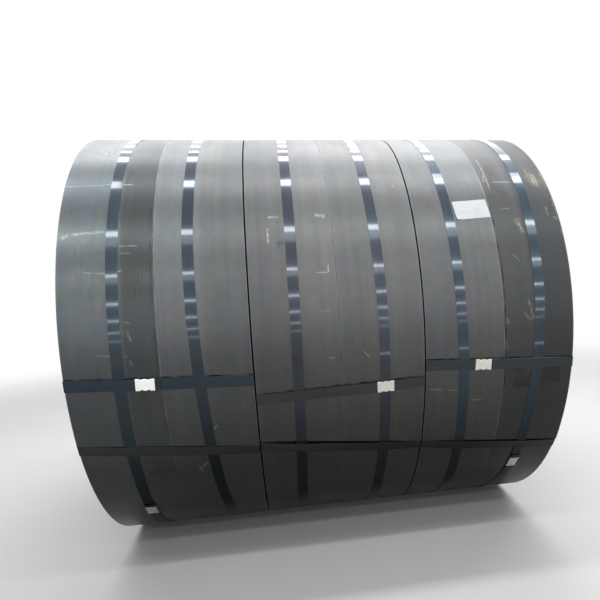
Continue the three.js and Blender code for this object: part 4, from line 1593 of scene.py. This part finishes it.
@dataclass(frozen=True)
class FloorPaint(Finish):
    """Painted concrete: pale and matt. It fades into the white surroundings far from the coils."""

    tones: tuple[str, str] = ("#e6e6e6", "#eaeae9")
    clear: float = 2.5  # metres from the middle at which it starts to fade out
    end: float = 5.5

    def draw(self, n: Nodes) -> None:
        """Draws its nodes.

        Args:
            n: The material's node tree.
        """
        place = n.add("TexCoord", (), "Object")
        away = n.add("VectorMath LENGTH", (place,))
        fade = n.add("MapRange", (away, self.clear, self.end), interpolation_type="SMOOTHSTEP")
        mottle = n.grain(place, (330.0, 330.0, 330.0), 0.0, 4.0)
        tone, other = (srgb(code) for code in self.tones)
        colour = n.add("Mix RGBA", (mottle, tone, other))
        paint = n.add("BsdfPrincipled", {"Base Color": colour, "Roughness": 0.9, "Specular IOR Level": 0.2})
        n.add("OutputMaterial", (n.add("MixShader", (fade, paint, n.add("BsdfTransparent"))),))


@dataclass(frozen=True)
class Studio:
    """A pale floor, white surroundings, soft lights and the camera."""

    dim: float = 0.15  # strength of the surroundings as a source of light
    floor_rings: tuple[float, ...] = (0.0, 1.0, 2.0, 3.0, 4.5, 6.0)
    floor_sides: int = 72
    floor_drop: float = 1.0  # millimetres that it lies below the coils' zero
    camera_place: tuple[float, float, float] = (-0.1656, -2.279, 0.9317)
    camera_turn: tuple[float, float, float] = (81.7825, 2.4407, -9.9571)
    lens: float = 32.10
    sensor: float = 36.0
    shift: tuple[float, float] = (-0.1167, 0.0893)
    clip: tuple[float, float] = (0.05, 60.0)
    strips: tuple[StripLight, ...] = (
        StripLight(157, 14.0, 1.5, along=1.3, length=4.6),
        StripLight(139, 1.8, 1.5, along=-0.3, length=4.8),
        StripLight(132, 30.0, 0.4, along=-0.1, length=5.2),
        StripLight(128, 2.2, 5.2, along=-0.2, length=4.4),
        StripLight(119, 2.2, 5.6, along=-0.1, length=3.9),
        StripLight(115, 40.0, 0.65, along=1.3, length=2.2),
        StripLight(109.4, 5.2, 6.6, along=0.0, length=5.4),
        StripLight(91, 3.0, 4.6, along=2.6, length=3.0),
        StripLight(86.5, 5.0, 9.0, along=1.4, length=5.4),
        StripLight(86.5, 5.0, 7.5, along=-2.375, length=1.85),
        StripLight(55.5, 3.0, 8.6, "#fcfff8"),
        StripLight(51, 4.6, 1.5),
        StripLight(34.0, 1.2, 9.6),
        StripLight(31.5, 2.4, 1.4),
        StripLight(20.5, 0.9, 8.8),
        StripLight(12.5, 0.9, 6.0),
        StripLight(7, 0.7, 4.8),
        StripLight(3, 0.6, 2.6),
        StripLight(-10.1, 0.5, 6.0, along=1.1, length=1.6, distance=2.67),
    )

    def build_world(self) -> None:
        """Makes the surroundings white to the camera and in reflections, and dimmer as a light."""
        world = bpy.data.worlds.new("white_surroundings")
        world.use_nodes = True
        n = Nodes(world.node_tree)
        ray = n.add("LightPath").node.outputs
        shown = n.add("Math MAXIMUM", (ray["Is Camera Ray"], ray["Is Glossy Ray"]))
        shown = n.add("Math MAXIMUM", (shown, ray["Is Transmission Ray"]))
        strength = n.add("MapRange", (shown, 0.0, 1.0, self.dim, 1.0))
        n.add("OutputWorld", (n.add("Background", ((1.0, 1.0, 1.0, 1.0), strength)),))
        bpy.context.scene.world = world

    def build_floor(self) -> None:
        """Makes the floor, which fades into the white surroundings far from the coils."""
        sides = np.linspace(0, 2 * math.pi, self.floor_sides + 1)
        radius, turn = np.meshgrid(np.array(self.floor_rings) / MM, sides, indexing="ij")
        level = np.full(radius.shape, -self.floor_drop)
        points = np.stack([radius * np.cos(turn), radius * np.sin(turn), level], axis=2)
        draft = MeshDraft()
        draft.add_grid(draft.add_points(points))
        floor = draft.make("pale_floor")
        floor.data.materials.append(FloorPaint("painted_concrete", 3.0).build())
        floor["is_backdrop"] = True

    def build_camera(self) -> None:
        """Makes the camera."""
        data = bpy.data.cameras.new("camera")
        data.lens, data.sensor_width = self.lens, self.sensor
        data.shift_x, data.shift_y = self.shift
        data.clip_start, data.clip_end = self.clip
        camera = bpy.data.objects.new("camera", data)
        camera.location = self.camera_place
        camera.rotation_euler = Euler([math.radians(angle) for angle in self.camera_turn])
        bpy.context.scene.collection.objects.link(camera)
        bpy.context.scene.camera = camera

    def build(self) -> None:
        """Makes everything round the coils."""
        self.build_world()
        self.build_floor()
        for strip in self.strips:
            strip.build()
        self.build_camera()
        bpy.context.scene.view_settings.view_transform = "Standard"


# ---------------- the bundle


COIL_MARKS = {  # of each coil, one kind after the other
    1: (
        *strokes(MarkKind.SMUDGE, (-645, 23.4, -635, 23.4, 16.0, 1.0), (-698, 14.5, -690, 14.5, 14.0, 1.0),
                 (-650, -8.8, -642, -8.8, 10.0, 0.7), (-593, 70.8, -500, 73.0, 7.0, 0.8)),
        # A damp stain under the tail strap, and painted shade 160 mm wide low on the left end.
        *strokes(MarkKind.DAMP, (-582, -27.9, -498, -27.9, 66.0, 0.45, 0.9),
                 (-725, -34.0, -722, -62.0, 160.0, 0.85, 0.0)),
        # Painted shade in the joint between coils 1 and 2.
        *strokes(MarkKind.OIL, (-505, 35.0, -502, -4.0, 4.0, 0.6), (-502, -8.0, -499, -20.5, 4.0, 0.4)),
        *strokes(MarkKind.SCUFF, (-575, 6.2, -565, 3.7, 8.0, 0.35), (-573, 0.0, -569, -1.5, 7.0, 0.3),
                 (-534, -16.1, -523, -16.4, 5.0, 0.25)),
        # Scratches; the two wide strokes near 28 degrees are a painted highlight.
        *strokes(MarkKind.SCRATCH, (-747, 42.2, -641, 42.6, 8.0, 0.25), (-641, 42.8, -563, 42.6, 6.0, 0.4),
                 (-741, 27.3, -718, 28.1, 16.0, 0.35), (-718, 28.1, -626, 28.8, 14.0, 0.3),
                 (-679, 19.1, -624, 18.8, 5.0, 0.55), (-606, 18.9, -579, 19.4, 5.0, 0.5),
                 (-588, 25.0, -537, 25.1, 6.0, 0.3), (-587, 23.3, -555, 23.3, 6.0, 0.28),
                 (-584, 8.2, -565, 7.8, 6.0, 0.3), (-659, 1.2, -623, 1.0, 7.0, 0.3),
                 (-589, 0.8, -577, 0.6, 5.0, 0.3), (-694, -25.5, -661, -25.9, 5.0, 0.3),
                 (-661, -22.3, -608, -23.1, 6.0, 0.35)),
    ),
    2: (
        *strokes(MarkKind.SMUDGE, (-497, 73.0, -389, 75.1, 7.0, 0.8)),
        *strokes(MarkKind.CHALK, (-375, -18.1, -358, -16.7, 7.0, 0.5), (-432, -28.7, -423, -30.9, 7.0, 0.7),
                 (-431, -30.2, -405, -27.6, 7.0, 0.7)),
    ),
    3: (
        *strokes(MarkKind.SMUDGE, (-158, 24.2, -129, 24.4, 26.0, 0.9), (-148, 30.6, -148, 29.6, 9.0, 0.6)),
        *strokes(MarkKind.CHALK, (-177, 31.5, -143, 31.7, 8.0, 0.35), (-178, 28.6, -179, 24.3, 7.0, 0.4),
                 (-37, 31.9, -4, 31.4, 15.0, 0.25, 0.6), (-11, 18.9, -11, 17.1, 6.0, 0.4),
                 (-50, 17.1, -11, 17.1, 6.0, 0.25), (-43, 8.2, -13, 8.2, 5.0, 0.25),
                 (-26, -2.4, -9, -2.6, 5.0, 0.35)),
    ),
    4: (
        *strokes(MarkKind.SMUDGE, (102, 6.1, 107, 5.4, 6.0, 0.7)),
        *strokes(MarkKind.SCRATCH, (76, -1.4, 96, -3.1, 5.0, 0.6)),
        *strokes(MarkKind.CHALK, (219, 40.8, 225, 40.8, 7.0, 0.5)),
    ),
    5: (
        *strokes(MarkKind.SCRATCH, (277, -12.0, 321, -12.5, 5.0, 0.5), (338, -12.7, 372, -12.9, 5.0, 0.5)),
        *strokes(MarkKind.CHALK, (419, -15.8, 454, -16.0, 7.0, 0.4), (468, -1.4, 469, -1.8, 4.0, 0.4)),
    ),
    6: (
        *strokes(MarkKind.DUST, (680, 45.0, 725, 40.0, 60.0, 0.35, 0.0)),
        # Damp stains, and painted shade 160 mm wide low on the right end.
        *strokes(MarkKind.DAMP, (566, 55.0, 562, 36.0, 80.0, 0.6, 0.1),
                 (550, -10.8, 712, -11.2, 66.0, 0.6, 0.94), (722, -32.5, 716, -58.0, 160.0, 0.9, 0.0)),
        # Painted shade in the joint between coils 5 and 6.
        *strokes(MarkKind.OIL, (522.5, 33.0, 522.5, -13.0, 6.0, 0.9, 0.4)),
        *strokes(MarkKind.RUST, (690, 50.0, 745, 36.0, 60.0, 0.35, 0.1)),
        *strokes(MarkKind.SCUFF, (545, 52.4, 542, 38.6, 9.8, 0.32), (537, 44.7, 533, 41.9, 8.4, 0.36),
                 (604, 29.5, 614, 25.1, 14.0, 0.43), (591, 29.3, 605, 27.0, 8.4, 0.29),
                 (708, 45.2, 705, 40.3, 8.4, 0.40), (716, 44.8, 715, 39.6, 8.4, 0.36),
                 (695, 47.2, 696, 44.3, 8.4, 0.25), (742, 45.2, 745, 39.5, 11.2, 0.32),
                 (713, 33.0, 714, 29.8, 9.8, 0.29), (729, 29.8, 743, 28.7, 9.8, 0.29),
                 (744, 35.5, 747, 28.0, 7.0, 0.4), (746, 26.0, 747, 21.5, 6.0, 0.25),
                 (582, 5.7, 609, 3.1, 14.0, 0.22), (601, 8.5, 615, 3.5, 12.6, 0.29),
                 (525, 4.3, 535, 2.6, 11.2, 0.25), (526, -1.2, 530, -3.7, 5.6, 0.36)),
        *strokes(MarkKind.SCRATCH, (562, 41.8, 626, 41.7, 9.0, 0.3), (552, 32.5, 589, 32.5, 7.0, 0.25),
                 (567, 19.7, 586, 17.9, 6.0, 0.25)),
    ),
}

COIL_FINISHES = (
    MillScale("blue_grey_mill_scale_1", 1.0, "#5e6365", "#596166", 0.31, (0.15, 0.1),
              tints=("#ffffff", "#bcbab8"), split=162.0, low="#74695b", marks=COIL_MARKS[1]),
    MillScale("blue_grey_mill_scale_2", 2.0, "#606365", "#5d6266", 0.36, (0.4, 0.15),
              tints=("#ffffff", "#f1efec"), split=130.0, marks=COIL_MARKS[2]),
    MillScale("grey_mill_scale_3", 3.0, "#646364", "#606265", 0.38, (0.15, 0.2),
              tints=("#eceded", "#ffffff"), split=150.0, marks=COIL_MARKS[3]),
    MillScale("grey_mill_scale_4", 4.0, "#5f6060", "#5d5f61", 0.38, (0.1, 0.2), marks=COIL_MARKS[4]),
    MillScale("blue_grey_mill_scale_5", 5.0, "#5e5f60", "#5b5e61", 0.37, (0.15, 0.35), marks=COIL_MARKS[5]),
    MillScale("brown_grey_mill_scale_6", 6.0, "#47494b", "#494b4c", 0.4, (0.15, 0.3),
              tints=("#ffffff", "#e4e7eb"), split=100.0, low="#6f685d", marks=COIL_MARKS[6]),
)

STRAP_TONES = ("#1a2d3a", "#172836", "#262d3b", "#2c3644", "#223342", "#1b3041")  # belly straps 1 to 6
EYE_TONES = (  # front, tail and back eye strap of each pair
    ("#152d3f", "#303639", "#1f3040"),
    ("#2f3537", "#373c3f", "#26333e"),
    ("#202e36", "#373c3f", "#26333e"),
)
EYE_RIM = "#14181b"  # slit edges of the eye straps
BELLY_ZINC = ("#b0b1aa", "#a3a49d")  # tone and dull tone of the seals on belly straps
EYE_ZINC = (  # of the seals on each pair's eye straps, and how metallic the brightest are
    # Pair 1's seals are a lighter copy of the zinc: a painted highlight.
    ("#fafaf8", "#f2f2f0", 0.9),
    ("#d2d0ca", "#c6c4be"),
    ("#d2d0ca", "#c6c4be"),
)
LABEL_COIL = 5
LEFT_END_STEPS = ((0.09, 1.6), (0.28, 0.4), (0.62, 2.2), (0.88, 0.9))
RIGHT_END_STEPS = ((0.14, 0.8), (0.4, 2.4), (0.73, 1.2), (0.92, 2.8))


def build_bundle() -> None:
    """Builds and dresses the coils, their straps, their seals and the label, in that order."""
    edge = SlitEdge("sheared_strip_edge", 4.0).build()
    ends = {1: (OpenEnd.LEFT, LEFT_END_STEPS), 6: (OpenEnd.RIGHT, RIGHT_END_STEPS)}
    for pair in PAIRS:
        bellies = []
        for number in pair.coils:
            coil = SlitCoil(number, pair, COIL_FINISHES[number - 1], *ends.get(number, ()))
            coil.dress(coil.build(), edge)
            LOG.info("coil %d wound", number)
            zinc = ZincPlate(f"zinc_belly_seal_{number}", number, *BELLY_ZINC)
            belly = BellyStrap(number, pair, BELLY_ROUTES[number - 1], STRAP_TONES[number - 1], zinc)
            belly.build()
            bellies.append(belly)
            LOG.info("belly strap %d sealed", number)
        for place, tone in zip(EyePlace, EYE_TONES[pair.number - 1]):
            stem, number = f"{place.value}_eye", pair.number
            steel = BluedSteel(f"blued_{stem}_strap_{number}", 10.0 * number, tone, EYE_RIM)
            zinc = ZincPlate(f"zinc_{stem}_seal_{number}", 20.0 + number, *EYE_ZINC[number - 1])
            EyeStrap(place, pair, steel, zinc, tuple(bellies)).build()
            LOG.info("%s eye strap of pair %d sealed", place.value, pair.number)
    PaperLabel(LABEL_COIL, PAIRS[2], BELLY_ROUTES[LABEL_COIL - 1]).build()
    LOG.info("label stuck on")


def corners() -> list[list[float]]:
    """Returns the lowest and highest corner of what shows, as plain numbers."""
    return [list(corner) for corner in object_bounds()]


def main() -> None:
    """Builds the scene."""
    logging.basicConfig(level=logging.INFO, format="%(name)s: %(message)s")
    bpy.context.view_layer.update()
    build_bundle()
    Studio().build()
    LOG.info("studio lit")


if __name__ == "__main__":
    main()
